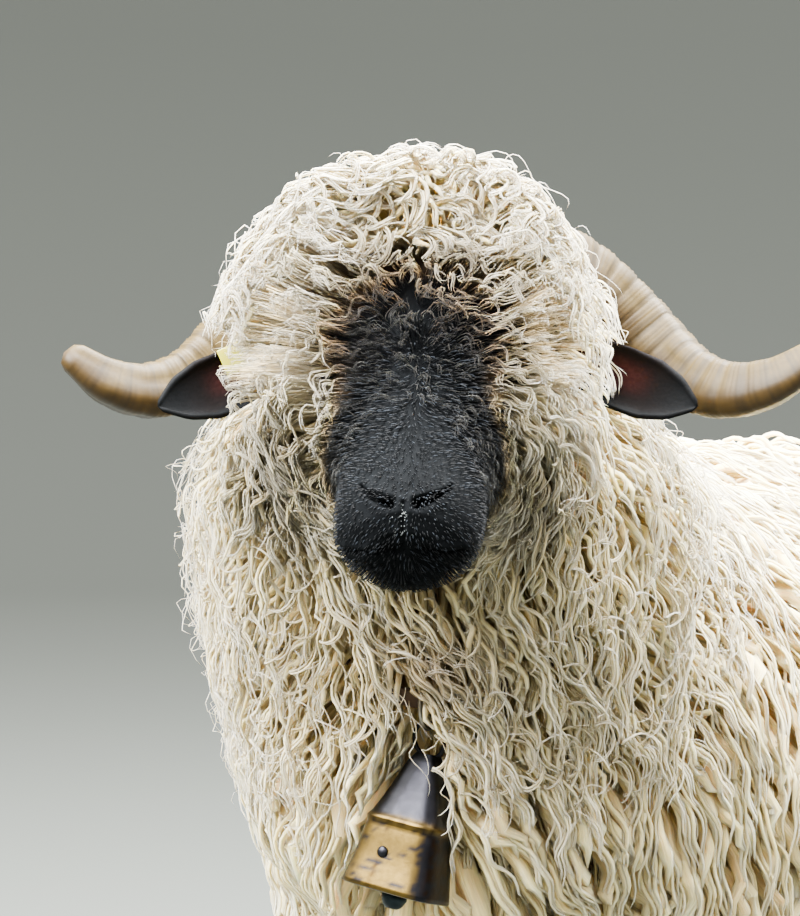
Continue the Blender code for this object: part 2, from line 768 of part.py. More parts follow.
def dewclaws(sections, sign):
    made = []
    for side in (-1, 1):
        x, y = sign * sections[2][1] + side * 0.011, sections[2][2] + sections[2][4] - 0.004
        centre = Vector((x, y, 0.074))
        axes = (Vector((0.006, 0, 0)), Vector((0, 0.008, -0.004)), Vector((0, 0.004, 0.009)))
        made.append(ball("dewclaw", centre, axes, HOOF, 8, 4))
    return made


def claw(name, centre, side):
    """One half of a cloven hoof: a flat sole, a sloping wall and a round toe."""
    rings = []
    for share, height in ((0.0, 0.0), (0.12, 0.004), (0.55, 0.020), (1.0, CLAW_HEIGHT)):
        length = CLAW_LENGTH * (1 - 0.26 * share)
        width = CLAW_WIDTH * (1 - 0.10 * share)
        middle = centre + Vector((side * CLAW_SPREAD, 0.012 * share - 0.010, height))
        ring = []
        for j in range(10):
            turn = 2 * math.pi * j / 10
            across, ahead = math.sin(turn), math.cos(turn)
            inner = 0.80 if across * side < 0 else 1.0
            pointed = 1 - 0.30 * max(ahead, 0.0)
            x = across * width / 2 * inner * pointed - side * 0.0035 * max(ahead, 0.0)
            ring.append(middle + Vector((x, -ahead * length / 2, 0)))
        rings.append(ring)
    return loft(name, rings, HOOF)


def tail_rings(share, grow=0.0, steps=9, sides=12):
    path = smooth_path(TAIL, steps)
    halves = []
    for x, y, z, radius in path:
        level = share + (1 - share) * float(rise(0.50, 0.56, z))
        full = TAIL_COAT * float(rise(TAIL_BARE - 0.05, TAIL_BARE + 0.06, z))
        halves.append((radius + level * full + grow,) * 2)
    rings = sweep(path[:, :3], halves, sides, Vector((1, 0, 0)))
    inward = (Vector(path[0][:3]) - Vector(path[1][:3])).normalized()
    rings[0] = [p + inward * grow for p in rings[0]]
    return rings


def tail_solid(name, share, grow=0.0):
    rings = tail_rings(share, grow)
    low = Vector(smooth_path(TAIL, 9)[-1][:3])
    return loft(name, rings, FLEECE, low - UP * (TAIL[-1][3] + grow))


def strap_frame():
    middle = (STRAP_FRONT + STRAP_NAPE) / 2
    long_axis = (STRAP_FRONT - STRAP_NAPE) / 2
    return middle, long_axis, Vector((NECK_HALF, 0, 0))


def strap_band(name, grow, material):
    """The strap: a flat band along the oval of the neck."""
    middle, long_axis, side_axis = strap_frame()
    facing = side_axis.cross(long_axis).normalized()
    rings = []
    for i in range(STRAP_STEPS):
        turn = 2 * math.pi * i / STRAP_STEPS
        centre = middle + side_axis * math.cos(turn) + long_axis * math.sin(turn)
        along = long_axis * math.cos(turn) - side_axis * math.sin(turn)
        across = along.cross(facing).normalized()
        wide, thick = facing * (STRAP_HALF_WIDTH + grow), across * (STRAP_HALF_THICKNESS + grow)
        rings.append([centre + wide * a + thick * b for a, b in ((-1, -1), (1, -1), (1, 1), (-1, 1))])
    points = [p for ring in rings for p in ring]
    faces = ring_faces(STRAP_STEPS, 4)
    last = (STRAP_STEPS - 1) * 4
    for j in range(4):
        following = (j + 1) % 4
        faces.append((last + j, last + following, following, j))
    return add_mesh(name, points, faces, material)


def bell_axes():
    """Across, to the front and down the bell, turned and tilted as it hangs on the fleece."""
    turn = Matrix.Rotation(BELL_YAW, 3, "Z") @ Matrix.Rotation(-BELL_TILT, 3, "X")
    turn = turn @ Matrix.Rotation(BELL_ROLL, 3, "Y")
    return turn @ Vector((1, 0, 0)), turn @ Vector((0, -1, 0)), turn @ Vector((0, 0, -1))


def bell_ring_points(down, wide, deep, sides=16):
    across, front, below = bell_axes()
    ring = []
    for j in range(sides):
        turn = 2 * math.pi * j / sides
        a, b = math.sin(turn), math.cos(turn)
        squared = (abs(a) ** BELL_SQUARENESS + abs(b) ** BELL_SQUARENESS) ** (-1 / BELL_SQUARENESS)
        ring.append(BELL_TOP + below * down + (across * wide * a + front * deep * b) * squared)
    return ring


def bell_shell(name):
    """A folded sheet bell with a brazed ridge at its shoulder, hollow and open below."""
    outer = [bell_ring_points(*row) for row in BELL_PROFILE]
    inner = []
    for down, wide, deep in [BELL_PROFILE[i] for i in (7, 6, 3, 2, 1)]:
        held = max(down, BELL_PROFILE[1][0] + BELL_WALL)
        inner.append(bell_ring_points(held, wide - BELL_WALL, deep - BELL_WALL))
    down, wide, deep = BELL_PROFILE[-1]
    rim = [bell_ring_points(down + 0.001, wide - BELL_WALL / 2, deep - BELL_WALL / 2)]
    below = bell_axes()[2]
    ceiling = BELL_TOP + below * (BELL_PROFILE[1][0] + BELL_WALL)
    return loft(name, outer + rim + inner, IRON, ceiling, BELL_TOP)


def bell_bail():
    across = bell_axes()[0]
    centre = BELL_TOP + UP * 0.010
    return closed_ring("bail", centre, across * 0.0125, UP * 0.0125, (WIRE, WIRE), 12, 6, IRON)


def bell_room():
    """The dent that the bell presses into the fleece."""
    room = GAP * 1.5
    rings = [bell_ring_points(down, wide + room, deep + room) for down, wide, deep in BELL_PROFILE]
    below = bell_axes()[2]
    rings.append(bell_ring_points(0.150, 0.046, 0.034))
    return loft("bell_room", rings, FLEECE, None, BELL_TOP - below * GAP * 2)


def ring_room():
    """The space in the throat wool round the ring and the bail."""
    centre = STRAP_FRONT + Vector((0.002, -0.006, -0.012))
    axes = (Vector((0.026, 0, 0)), Vector((0, 0.028, 0)), Vector((0, 0, 0.038)))
    return ball("ring_room", centre, axes, FLEECE, 10, 8)


def clapper(name):
    """A rod with a pear-shaped end, hung from the inside of the bell."""
    across, front, below = bell_axes()
    start = BELL_PROFILE[1][0] + BELL_WALL + GAP
    profile = ((0.0, 0.0024), (0.45, 0.0022), (0.78, 0.0026), (0.86, 0.0075), (0.93, 0.0095), (1.0, 0.0050))
    rings = []
    for share, radius in profile:
        centre = BELL_TOP + below * (start + (CLAPPER_LENGTH - start) * share)
        ring = []
        for j in range(8):
            turn = 2 * math.pi * j / 8
            ring.append(centre + (across * math.sin(turn) + front * math.cos(turn)) * radius)
        rings.append(ring)
    return loft(name, rings, IRON)


def hook_ring(name):
    centre = Vector((BELL_TOP.x, STRAP_FRONT.y, STRAP_FRONT.z - 0.0040))
    return closed_ring(name, centre, Vector((0, 0.0145, 0)), UP * 0.0165, (WIRE, WIRE), 14, 6, IRON)


# The ear tag: two blank plates with a pin through the right ear.
TAG_SHARE, TAG_ASIDE = 0.56, -0.009
TAG_PLATE, TAG_THICKNESS, TAG_PIN = (0.0085, 0.0100), 0.0016, 0.0016


def tag_frame():
    root, tip, across, face = ear_frame(-1)
    along = (tip - root).normalized()
    return root.lerp(tip, TAG_SHARE) + across * TAG_ASIDE, along, across, face


def tag_rod(name, grow, near, far, material):
    place, along, across, face = tag_frame()
    radius = TAG_PIN + grow
    path = [place + face * near, place + face * (near + far) / 2, place + face * far]
    return loft(name, sweep(path, [(radius, radius)] * 3, 10, along), material)


def tag_room():
    """The space that the wool leaves round the tag."""
    place, along, across, face = tag_frame()
    centre = place - face * 0.009
    return ball("tag_room", centre, (along * 0.019, across * 0.020, face * 0.022), FLEECE, 10, 6)


def ear_tag(name):
    place, along, across, face = tag_frame()
    front, behind = 0.0, -0.0185
    axes = (along * TAG_PLATE[0], across * TAG_PLATE[1], face * TAG_THICKNESS / 2)
    plates = [box("plate", place + face * offset, axes, TAG) for offset in (front, behind)]
    return combine(tag_rod(name, 0.0, behind, front, TAG), plates, "UNION")


def half_space(plane, sign, name="half"):
    """A large box that holds everything on one side of a cut, short of half the gap."""
    place, way = plane
    across = way.cross(Vector((1, 0, 0))).normalized()
    size = 1.5
    centre = place + way * sign * (size - GAP / 2)
    return box(name, centre, (way * size, across * size, way.cross(across) * size), FLEECE)


def shade(solid, angle=40):
    solid.data.shade_smooth()
    solid.data.set_sharp_from_angle(angle=math.radians(angle))


def blacken(solid, test):
    """Gives the faces whose middle passes a test the black of the breed's markings."""
    solid.data.materials.clear()
    for material in (FLEECE, BLACK_WOOL):
        solid.data.materials.append(material)
    middles = np.array([tuple(face.center) for face in solid.data.polygons])
    solid.data.polygons.foreach_set("material_index", test(middles).astype(np.int32))


def on_muzzle(points):
    return head_local(points)[0] > BLACK_FACE


def on_foot_or_knee(points):
    knee = abs(points[:, 2] - KNEE_HEIGHT) < KNEE_PATCH
    return (points[:, 2] < BLACK_FOOT) | knee & (points[:, 1] < 0)


# The locks: how much of the coat is core, and how the locks run from root to tip.
CORE = 0.46
ROOT_LEVEL, TIP_LEVEL = 0.22, 0.97
LOCK_TAPER = (0.62, 1.0, 1.0, 0.84, 0.52)
LOCK_DEPTH = 0.50
KEPT_FACES = 0.383
KEPT_LIMB_FACES = 0.72
SEED = 11


def turns(row, step, most):
    """Angles on both sides of the middle, each row set between those of its neighbours."""
    if row % 2:
        found = np.arange(step / 2, most, step)
        return [side * a for side in (-1, 1) for a in found]
    return [side * a for side in (-1, 1) for a in np.arange(step, most, step)] + [0.0]


def thin_out(solid, share):
    """Joins small faces into larger ones where they shape the surface least."""
    modify(solid, "DECIMATE", ratio=share)


def trunk_roots(draw):
    """Rows of roots round the trunk, and fans of them over the brisket and the rump."""
    roots = []
    spine = np.array(TRUNK)[:, :3]

    def add(y, way, half, length):
        centre = (0.0, y, float(np.interp(y, spine[:, 1], spine[:, 2])))
        roots.append((centre, way, half, length))

    for row, y in enumerate(np.linspace(-0.33, 0.32, 8)):
        for degrees in turns(row, 31, 126):
            turn = math.radians(degrees + draw.uniform(-4, 4))
            add(y + draw.uniform(-0.012, 0.012), (math.sin(turn), 0.0, math.cos(turn)), 0.047, 0.22)
    for end, y in ((-1, TRUNK[0][1]), (1, TRUNK[-1][1])):
        for tilt, across in ((32, (-135, -90, -45, 0, 45, 90, 135)), (66, (-110, 0, 110))):
            for degrees in across:
                turn, lean = math.radians(degrees + draw.uniform(-6, 6)), math.radians(tilt)
                level = math.cos(lean)
                way = (math.sin(turn) * level, end * math.sin(lean), math.cos(turn) * level)
                add(y, way, 0.036, 0.16)
    return roots


def neck_roots(draw):
    roots = []
    spine = np.array(NECK)[:, :3]
    way = (Vector(NECK[-1][:3]) - Vector(NECK[0][:3])).normalized()
    side = way.cross(Vector((0, -1, 0))).normalized()
    nape = way.cross(side) * -1
    for row, share in enumerate(np.linspace(0.20, 0.92, 5)):
        place = share * (len(spine) - 1)
        centre = tuple(float(np.interp(place, range(len(spine)), spine[:, i])) for i in range(3))
        for degrees in turns(row, 36, 170):
            turn = math.radians(degrees + draw.uniform(-4, 4))
            radial = side * math.sin(turn) + nape * math.cos(turn)
            roots.append((centre, tuple(radial), 0.034, 0.15))
    return roots


def head_roots(draw):
    """Rings of roots from the crown down over brow, temples, cheeks and jaw."""
    roots = []
    for lean, count in ((15, 4), (38, 7), (60, 9), (82, 11), (104, 11), (124, 8)):
        for i in range(count):
            turn = 2 * math.pi * (i + 0.5 * (lean % 3 > 0) + draw.uniform(-0.12, 0.12)) / count
            tilt = math.radians(lean + draw.uniform(-4, 4))
            way = UP * math.cos(tilt) + (LEVEL * math.cos(turn) + LEFT * math.sin(turn)) * math.sin(tilt)
            roots.append((tuple(SKULL), tuple(way), 0.029, 0.09))
    return roots


def at_level(points, level):
    """Moves points out or in until they stand at a share of the coat's depth."""
    for _ in range(4):
        short = level * coat_depth(points) - skin_distance(points)
        points = points + slope(skin_distance, points) * short[:, None]
    return points, slope(skin_distance, points)


def lie_of_coat(points, out):
    """Down the body, outwards from its middle line, and outwards from the crown on the head."""
    near_head = rise(0.10, 0.02, head_distance(points))[:, None]
    radial = (points - np.array(SKULL)) * (1, 1, 0)
    radial /= np.maximum(np.linalg.norm(radial, axis=1, keepdims=True), 1e-6)
    aside = 0.5 * np.tanh(points[:, 0] / 0.05)
    body_wish = np.stack([aside, np.full(len(points), 0.22), -np.ones(len(points))], axis=1)
    wish = body_wish * (1 - near_head) + (radial * 0.7 - np.array(UP)) * near_head
    flat = wish - out * (wish * out).sum(axis=1, keepdims=True)
    return flat / np.maximum(np.linalg.norm(flat, axis=1, keepdims=True), 0.25)


def lock_paths(roots, draw):
    """Marches every lock along the lie of the coat, from its sunken root to its tip."""
    centres = np.array([root[0] for root in roots])
    ways = np.array([root[1] for root in roots])
    points = reach(skin_distance, centres, ways, lambda p: CORE * coat_depth(p))
    lengths = np.array([root[3] * draw.uniform(0.85, 1.15) for root in roots])
    phases = np.array([draw.uniform(0, 2 * math.pi) for _ in roots])
    tips = np.array([TIP_LEVEL * draw.uniform(0.90, 1.0) for _ in roots])
    steps = len(LOCK_TAPER)
    paths, outs = [], []
    for i in range(steps + 1):
        share = i / steps
        level = ROOT_LEVEL + (tips - ROOT_LEVEL) * rise(-0.15, 0.80, share)
        if i:
            lie = lie_of_coat(points, outs[-1])
            swing = np.cross(outs[-1], lie) * (0.35 * np.cos(phases + 5.0 * share))[:, None]
            points = points + (lie + swing) * (lengths / steps)[:, None]
        points, out = at_level(points, level - (0.10 if i == steps else 0.0))
        paths.append(points)
        outs.append(out)
    return np.array(paths).transpose(1, 0, 2), np.array(outs).transpose(1, 0, 2)


def flat_lock(path, outs, half):
    """A tapered lock with a low ridge, wider than it is thick."""
    spots = [i * (len(LOCK_TAPER) - 1) / (len(path) - 2) for i in range(len(path) - 1)]
    taper = [float(np.interp(spot, range(len(LOCK_TAPER)), LOCK_TAPER)) for spot in spots]
    halves = [(half * share, half * share * LOCK_DEPTH) for share in taper]
    up = [Vector(out) for out in outs]
    rings = sweep([Vector(p) for p in path], [*halves, (0, 0)], 3, up)
    return loft("lock", rings[:-1], FLEECE, Vector(path[-1]))


def body_locks():
    """The locks of trunk, neck and head, but for those that would lie over the bare face."""
    draw = random.Random(SEED)
    roots = trunk_roots(draw) + neck_roots(draw) + head_roots(draw)
    paths, outs = lock_paths(roots, draw)
    made = []
    for path, out, root in zip(paths, outs, roots):
        on_face = (head_local(path)[0] > 0.16) & (head_distance(path) < 0.045)
        if not on_face.any():
            made.append(flat_lock(path, out, root[2]))
    return made


def leg_point(sections, sign, z, turn, level):
    """A point on a leg's coat, and the way out of it."""
    table = np.array(sections)
    x, y, wide, deep = (float(np.interp(z, table[:, 0], table[:, i])) for i in (1, 2, 3, 4))
    coat = level * leg_coat(z)
    out = Vector((math.cos(turn), math.sin(turn), 0.0))
    return Vector((sign * x + (wide + coat) * out.x, y + (deep + coat) * out.y, z)), out


def leg_locks(sections, sign, draw):
    made = []
    skirt = SKIRT["front"] if sections[0][2] < 0 else SKIRT["hind"]
    for row, (drop, count) in enumerate(((0.030, 6), (0.095, 4))):
        for i in range(count):
            turn = 2 * math.pi * (i + 0.5 * row + draw.uniform(-0.15, 0.15)) / count
            path, outs = [], []
            for step, level in enumerate((0.05, 0.72, 0.90, 0.80)):
                z = skirt - drop - step * 0.030 * draw.uniform(0.9, 1.1)
                point, out = leg_point(sections, sign, z, turn + 0.10 * math.sin(2.2 * step + i), level)
                path.append(point)
                outs.append(out)
            made.append(flat_lock(path, outs, 0.021))
    return made


def tail_locks(draw):
    made = []
    spine = np.array(smooth_path(TAIL, 25))[::-1]
    for row, (start, count) in enumerate(((0.520, 5), (0.455, 4))):
        for i in range(count):
            turn = 2 * math.pi * (i + 0.5 * row + draw.uniform(-0.15, 0.15)) / count
            out = Vector((math.cos(turn), math.sin(turn), 0.0))
            path = []
            for step, level in enumerate((0.05, 0.75, 0.92, 0.62)):
                z = start - 0.036 * step
                y, radius = (float(np.interp(z, spine[:, 2], spine[:, i])) for i in (1, 3))
                path.append(Vector((0, y, z)) + out * (radius + level * TAIL_COAT))
            made.append(flat_lock(path, [out] * 4, 0.020))
    return made


def body():
    """Torso, neck and head as one solid, with the room that the other pieces take."""
    whole = trunk_core(CORE)
    combine(whole, [neck_core(CORE), head_core(CORE), *body_locks()], "UNION", "MANIFOLD")
    thin_out(whole, KEPT_FACES)
    added = [lip(*UPPER_LIP), lip(*LOWER_LIP)]
    added += [eye_ball("lid", sign, EYE_RADIUS + 0.0030, FLEECE) for _, sign in SIDES]
    combine(whole, added, "UNION", "MANIFOLD")
    cut = [mouth_cut(), philtrum_cut(), strap_band("tunnel", GAP, FLEECE), ring_room(), bell_room()]
    for which, sign in SIDES:
        cut += [eye_ball("socket", sign, EYE_RADIUS + GAP, FLEECE), lid_opening(sign)]
        cut += [eye_clearing(sign), nostril_cut(sign), ear_sleeve(sign), horn_sleeve(which, sign)]
        for sections in (FRONT_LEG, HIND_LEG):
            rings = leg_rings(sections, sign, 1.0, GAP, 0.15)
            rings[-1] = [p + UP * GAP for p in rings[-1]]
            cut.append(loft("leg_sleeve", rings, FLEECE))
    cut += [tail_solid("tail_sleeve", 1.0, GAP), tag_room()]
    combine(whole, cut, "DIFFERENCE", "MANIFOLD")
    return whole


def divide(whole):
    """Parts the body by two thin cuts into torso, neck and head."""
    pieces = {}
    for name, halves in (
        ("torso", ((NECK_CUT, 1),)),
        ("neck", ((NECK_CUT, -1), (HEAD_CUT, 1))),
        ("head", ((HEAD_CUT, -1),)),
    ):
        piece = duplicate(whole, name + "_piece")
        combine(piece, [half_space(plane, sign) for plane, sign in halves], "DIFFERENCE", "MANIFOLD")
        keep_largest(piece)
        pieces[name] = piece
    bpy.data.objects.remove(whole)
    for name, piece in pieces.items():
        piece.name = name
    return pieces


def leg(name, sections, sign, draw):
    solid = loft(name, leg_rings(sections, sign, CORE), FLEECE)
    combine(solid, dewclaws(sections, sign) + leg_locks(sections, sign, draw), "UNION", "MANIFOLD")
    keep_largest(solid)
    thin_out(solid, KEPT_LIMB_FACES)
    blacken(solid, on_foot_or_knee)
    return solid


def claws(name, sections, sign):
    for word, side in (("outer", sign), ("inner", -sign)):
        foot = Vector((sign * sections[0][1], sections[0][2] - 0.004, 0.0))
        shade(claw(name + "_claw_" + word, foot, side), 50)


def settle():
    """Moves the model so that its box stands centred over the origin, on the floor."""
    places = np.array([tuple(v.co) for o in bpy.data.objects for v in o.data.vertices])
    low, high = places.min(axis=0), places.max(axis=0)
    shift = Vector((-(low[0] + high[0]) / 2, -(low[1] + high[1]) / 2, -low[2]))
    for solid in bpy.data.objects:
        solid.data.transform(Matrix.Translation(shift))


def main():
    for old in list(bpy.data.objects):
        bpy.data.objects.remove(old)
    draw = random.Random(SEED)
    pieces = divide(body())
    blacken(pieces["head"], on_muzzle)
    for piece in pieces.values():
        shade(piece)
    for which, sign in SIDES:
        shade(ear("ear_" + which, sign))
        shade(horn("horn_" + which, which, sign))
        shade(eye_ball("eye_" + which, sign, EYE_RADIUS, EYE), 80)
        for place, sections in (("front", FRONT_LEG), ("hind", HIND_LEG)):
            shade(leg("leg_%s_%s" % (place, which), sections, sign, draw))
            claws("%s_%s" % (place, which), sections, sign)
    tail = combine(tail_solid("tail", CORE), tail_locks(draw), "UNION", "MANIFOLD")
    keep_largest(tail)
    thin_out(tail, KEPT_LIMB_FACES)
    shade(tail)
    tagged = bpy.data.objects["ear_right"]
    combine(tagged, [tag_rod("hole", GAP, -0.04, 0.02, TAG)], "DIFFERENCE")
    ear_tag("ear_tag")
    strap_band("collar", 0.0, STRAP)
    bell = combine(bell_shell("bell"), [bell_bail()], "UNION")
    shade(bell)
    shade(clapper("clapper"))
    shade(hook_ring("bell_ring"))
    settle()


main()
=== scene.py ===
"""The looks of a Valais blacknose sheep, life size: one skin, its fleece, horns, hooves and bell.

The sheep faces -Y and its left side is +X. Shapes are worked out in the frame of the part's
source, and settle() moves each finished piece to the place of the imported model.
"""

import math

import bpy
import numpy as np
from mathutils import Matrix, Vector


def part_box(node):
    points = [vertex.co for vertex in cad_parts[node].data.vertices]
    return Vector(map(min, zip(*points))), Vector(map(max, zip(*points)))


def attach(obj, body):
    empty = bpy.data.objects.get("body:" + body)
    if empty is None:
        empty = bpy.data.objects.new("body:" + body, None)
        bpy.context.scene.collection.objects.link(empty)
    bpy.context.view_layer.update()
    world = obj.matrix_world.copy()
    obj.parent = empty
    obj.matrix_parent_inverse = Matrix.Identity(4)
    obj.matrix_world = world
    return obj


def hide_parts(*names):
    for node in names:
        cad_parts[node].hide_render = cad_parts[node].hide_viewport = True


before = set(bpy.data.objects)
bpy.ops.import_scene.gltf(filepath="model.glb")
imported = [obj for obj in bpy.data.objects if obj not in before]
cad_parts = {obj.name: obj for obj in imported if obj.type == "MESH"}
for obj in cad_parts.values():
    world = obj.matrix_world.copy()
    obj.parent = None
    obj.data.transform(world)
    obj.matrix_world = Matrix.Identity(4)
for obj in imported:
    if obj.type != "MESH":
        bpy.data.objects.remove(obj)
bpy.ops.object.select_all(action="DESELECT")
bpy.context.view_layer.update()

UP = Vector((0, 0, 1))
SIDES = (("left", 1), ("right", -1))

# The skin of trunk, neck, shoulders and thighs, as spheres along lines: x, y, z, radius.
TRUNK = (
    (0.0, -0.345, 0.545, 0.110),
    (0.0, -0.210, 0.560, 0.172),
    (0.0, -0.020, 0.552, 0.184),
    (0.0, 0.140, 0.561, 0.178),
    (0.0, 0.272, 0.596, 0.150),
    (0.0, 0.358, 0.628, 0.092),
)
NECK = (
    (0.0, -0.250, 0.610, 0.140),
    (0.006, -0.360, 0.690, 0.118),
    (0.022, -0.430, 0.780, 0.098),
    (0.036, -0.475, 0.862, 0.080),
)
SHOULDER = ((0.095, -0.220, 0.520, 0.095), (0.112, -0.235, 0.400, 0.058))
THIGH = ((0.080, 0.252, 0.560, 0.125), (0.108, 0.302, 0.420, 0.070))
TAIL = (
    (0.0, 0.345, 0.660, 0.030),
    (0.0, 0.425, 0.612, 0.026),
    (0.0, 0.485, 0.520, 0.020),
    (0.0, 0.500, 0.400, 0.015),
)
FRONT_LEG = (  # height, place across and along, half widths
    (0.0365, 0.103, -0.2600, 0.0240, 0.0270),
    (0.0520, 0.103, -0.2520, 0.0195, 0.0210),
    (0.0850, 0.103, -0.2410, 0.0215, 0.0235),
    (0.1050, 0.103, -0.2400, 0.0170, 0.0190),
    (0.1500, 0.103, -0.2400, 0.0160, 0.0180),
    (0.2000, 0.103, -0.2440, 0.0220, 0.0240),
    (0.2350, 0.103, -0.2470, 0.0265, 0.0290),
    (0.2700, 0.104, -0.2440, 0.0270, 0.0310),
    (0.3200, 0.105, -0.2400, 0.0330, 0.0390),
    (0.4000, 0.108, -0.2360, 0.0480, 0.0560),
)
HIND_LEG = (
    (0.0365, 0.104, 0.3050, 0.0240, 0.0270),
    (0.0520, 0.104, 0.3140, 0.0195, 0.0210),
    (0.0850, 0.104, 0.3270, 0.0215, 0.0240),
    (0.1050, 0.104, 0.3300, 0.0170, 0.0195),
    (0.1600, 0.104, 0.3380, 0.0165, 0.0195),
    (0.2150, 0.104, 0.3500, 0.0190, 0.0240),
    (0.2550, 0.105, 0.3560, 0.0230, 0.0300),
    (0.2900, 0.106, 0.3450, 0.0260, 0.0340),
    (0.3400, 0.108, 0.3200, 0.0400, 0.0520),
    (0.4100, 0.110, 0.3020, 0.0580, 0.0720),
)

# The head: the middle of the skull, where it points, and its sections from poll to lips.
SKULL = Vector((0.042, -0.505, 0.880))
HEAD_YAW = math.radians(22)
HEAD_PITCH = math.radians(38)
LEVEL = Vector((math.sin(HEAD_YAW), -math.cos(HEAD_YAW), 0.0))
LEFT = Vector((math.cos(HEAD_YAW), math.sin(HEAD_YAW), 0.0))
NOSE = LEVEL * math.cos(HEAD_PITCH) - UP * math.sin(HEAD_PITCH)
CROWN = NOSE.cross(LEFT)
HEAD_SECTIONS = (  # along the nose, half width, above, below
    (-0.058, 0.0280, 0.0280, 0.028),
    (-0.030, 0.0550, 0.0550, 0.058),
    (0.005, 0.0620, 0.0660, 0.076),
    (0.050, 0.0660, 0.0620, 0.082),
    (0.090, 0.0550, 0.0520, 0.074),
    (0.130, 0.0470, 0.0430, 0.062),
    (0.165, 0.0450, 0.0375, 0.055),
    (0.190, 0.0465, 0.0355, 0.052),
    (0.206, 0.0465, 0.0340, 0.050),
    (0.219, 0.0445, 0.0310, 0.047),
    (0.229, 0.0385, 0.0250, 0.041),
    (0.236, 0.0270, 0.0150, 0.030),
)
SMOOTHING, LIMB_SMOOTHING = 0.022, 0.010

# The depth of the coat from skin to tips.
BACK_COAT, FLANK_COAT, BELLY_COAT = 0.050, 0.085, 0.060
NAPE_COAT, RUFF_COAT = 0.056, 0.062
CROWN_COAT, CHEEK_COAT, THROAT_COAT = 0.090, 0.086, 0.066
BROW_COAT, FACE_COAT = 0.030, 0.002
LEFT_CHEEK, RIGHT_CHEEK, RIGHT_RUFF = 0.66, 1.14, 1.25  # shares of the depth that these places have
NAPE_THIN, SHOULDER_THIN = 0.55, 0.66
WHORL = (0.0, 0.060, 0.0)  # behind the skull's middle, where the crown's wool parts
PARTING, HEAD_BLEND = 0.020, (0.10, 0.02)
PART_BLEND = 0.03
WOOL_LINE_TOP, WOOL_LINE_SIDE, WOOL_LINE_THROAT = 0.078, 0.112, 0.125
WOOL_LINE_SOFTNESS = 0.044
LEG_COAT = ((0.0365, 0.0010), (0.085, 0.0015), (0.105, 0.010), (0.16, 0.022), (0.24, 0.030), (0.41, 0.038))
TAIL_COAT, TAIL_BARE = 0.034, 0.36
EYE_RADIUS = 0.0142
EYE_PLACE = (0.050, 0.0575, 0.022)

# Fields are kept on a grid of points round the animal, this far apart.
GRID_STEP = 0.0075
GRID_LOW, GRID_HIGH = np.array((-0.375, -0.750, 0.0)), np.array((0.375, 0.640, 1.065))

rng = np.random.default_rng(7)


def at_head(along, side, above):
    return SKULL + NOSE * along + LEFT * side + CROWN * above


def by_head(side, back, above):
    """A point beside the skull, in level axes: out, behind and above its middle."""
    return SKULL + LEFT * side - LEVEL * back + UP * above


def eye_centre(sign):
    return at_head(EYE_PLACE[0], sign * EYE_PLACE[1], EYE_PLACE[2])


SHIFT = sum(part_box("eye_left"), Vector()) / 2 - eye_centre(1)


def rise(low, high, value):
    share = np.clip((value - low) / (high - low), 0.0, 1.0)
    return share * share * (3 - 2 * share)


def unit(vectors):
    return vectors / np.maximum(np.linalg.norm(vectors, axis=-1, keepdims=True), 1e-9)


def mix(first, second, share):
    return first + (second - first) * share


def line_distance(points, spheres):
    """Distance from points to each stretch of a line of spheres."""
    found = []
    for first, second in zip(spheres, spheres[1:]):
        a, b = np.array(first[:3]), np.array(second[:3])
        along = np.clip((points - a) @ (b - a) / ((b - a) @ (b - a)), 0.0, 1.0)
        middle = a + along[:, None] * (b - a)
        radius = first[3] + along * (second[3] - first[3])
        found.append(np.linalg.norm(points - middle, axis=1) - radius)
    return found


def mirrored(spheres):
    return tuple((-x, y, z, r) for x, y, z, r in spheres)


def joined(distances, smoothing=SMOOTHING):
    stack = np.array(distances)
    least = stack.min(axis=0)
    return least - smoothing * np.log(np.exp((least - stack) / smoothing).sum(axis=0))


def head_local(points):
    offset = points - np.array(SKULL)
    return offset @ np.array(NOSE), offset @ np.array(LEFT), offset @ np.array(CROWN)


def section_distance(ring, size, beyond):
    """Distance from an oval section, by how many times its size a point is out, and past its end."""
    radial = (ring - 1) * size
    return np.where(beyond > 0, np.hypot(np.maximum(radial, 0), beyond), radial)


def head_distance(points):
    along, side, above = head_local(points)
    table = np.array(HEAD_SECTIONS)
    held = np.clip(along, table[0, 0], table[-1, 0])
    half, top, under = (np.interp(held, table[:, 0], table[:, i]) for i in (1, 2, 3))
    middle, height = (top - under) / 2, (top + under) / 2
    ring = np.hypot(side / half, (above - middle) / height)
    return section_distance(ring, np.minimum(half, height), np.abs(along - held))


def leg_distance(points, sections, sign):
    table = np.array(sections)
    held = np.clip(points[:, 2], table[0, 0], table[-1, 0])
    x, y, wide, deep = (np.interp(held, table[:, 0], table[:, i]) for i in (1, 2, 3, 4))
    ring = np.hypot((points[:, 0] - sign * x) / wide, (points[:, 1] - y) / deep)
    return section_distance(ring, np.minimum(wide, deep), np.abs(points[:, 2] - held))


def part_distances(points):
    """Trunk, neck, head, legs and tail."""
    limbs = [SHOULDER, mirrored(SHOULDER), THIGH, mirrored(THIGH)]
    trunk = joined([d for line in [TRUNK, *limbs] for d in line_distance(points, line)])
    neck = joined(line_distance(points, NECK))
    legs = [leg_distance(points, leg, sign) for leg in (FRONT_LEG, HIND_LEG) for _, sign in SIDES]
    tail = np.min(line_distance(points, TAIL), axis=0)
    return np.array([trunk, neck, head_distance(points), np.min(legs, axis=0), tail])


def skin_distance(points):
    trunk, neck, head, legs, tail = part_distances(points)
    return joined([joined([trunk, neck, head]), legs, tail], LIMB_SMOOTHING)


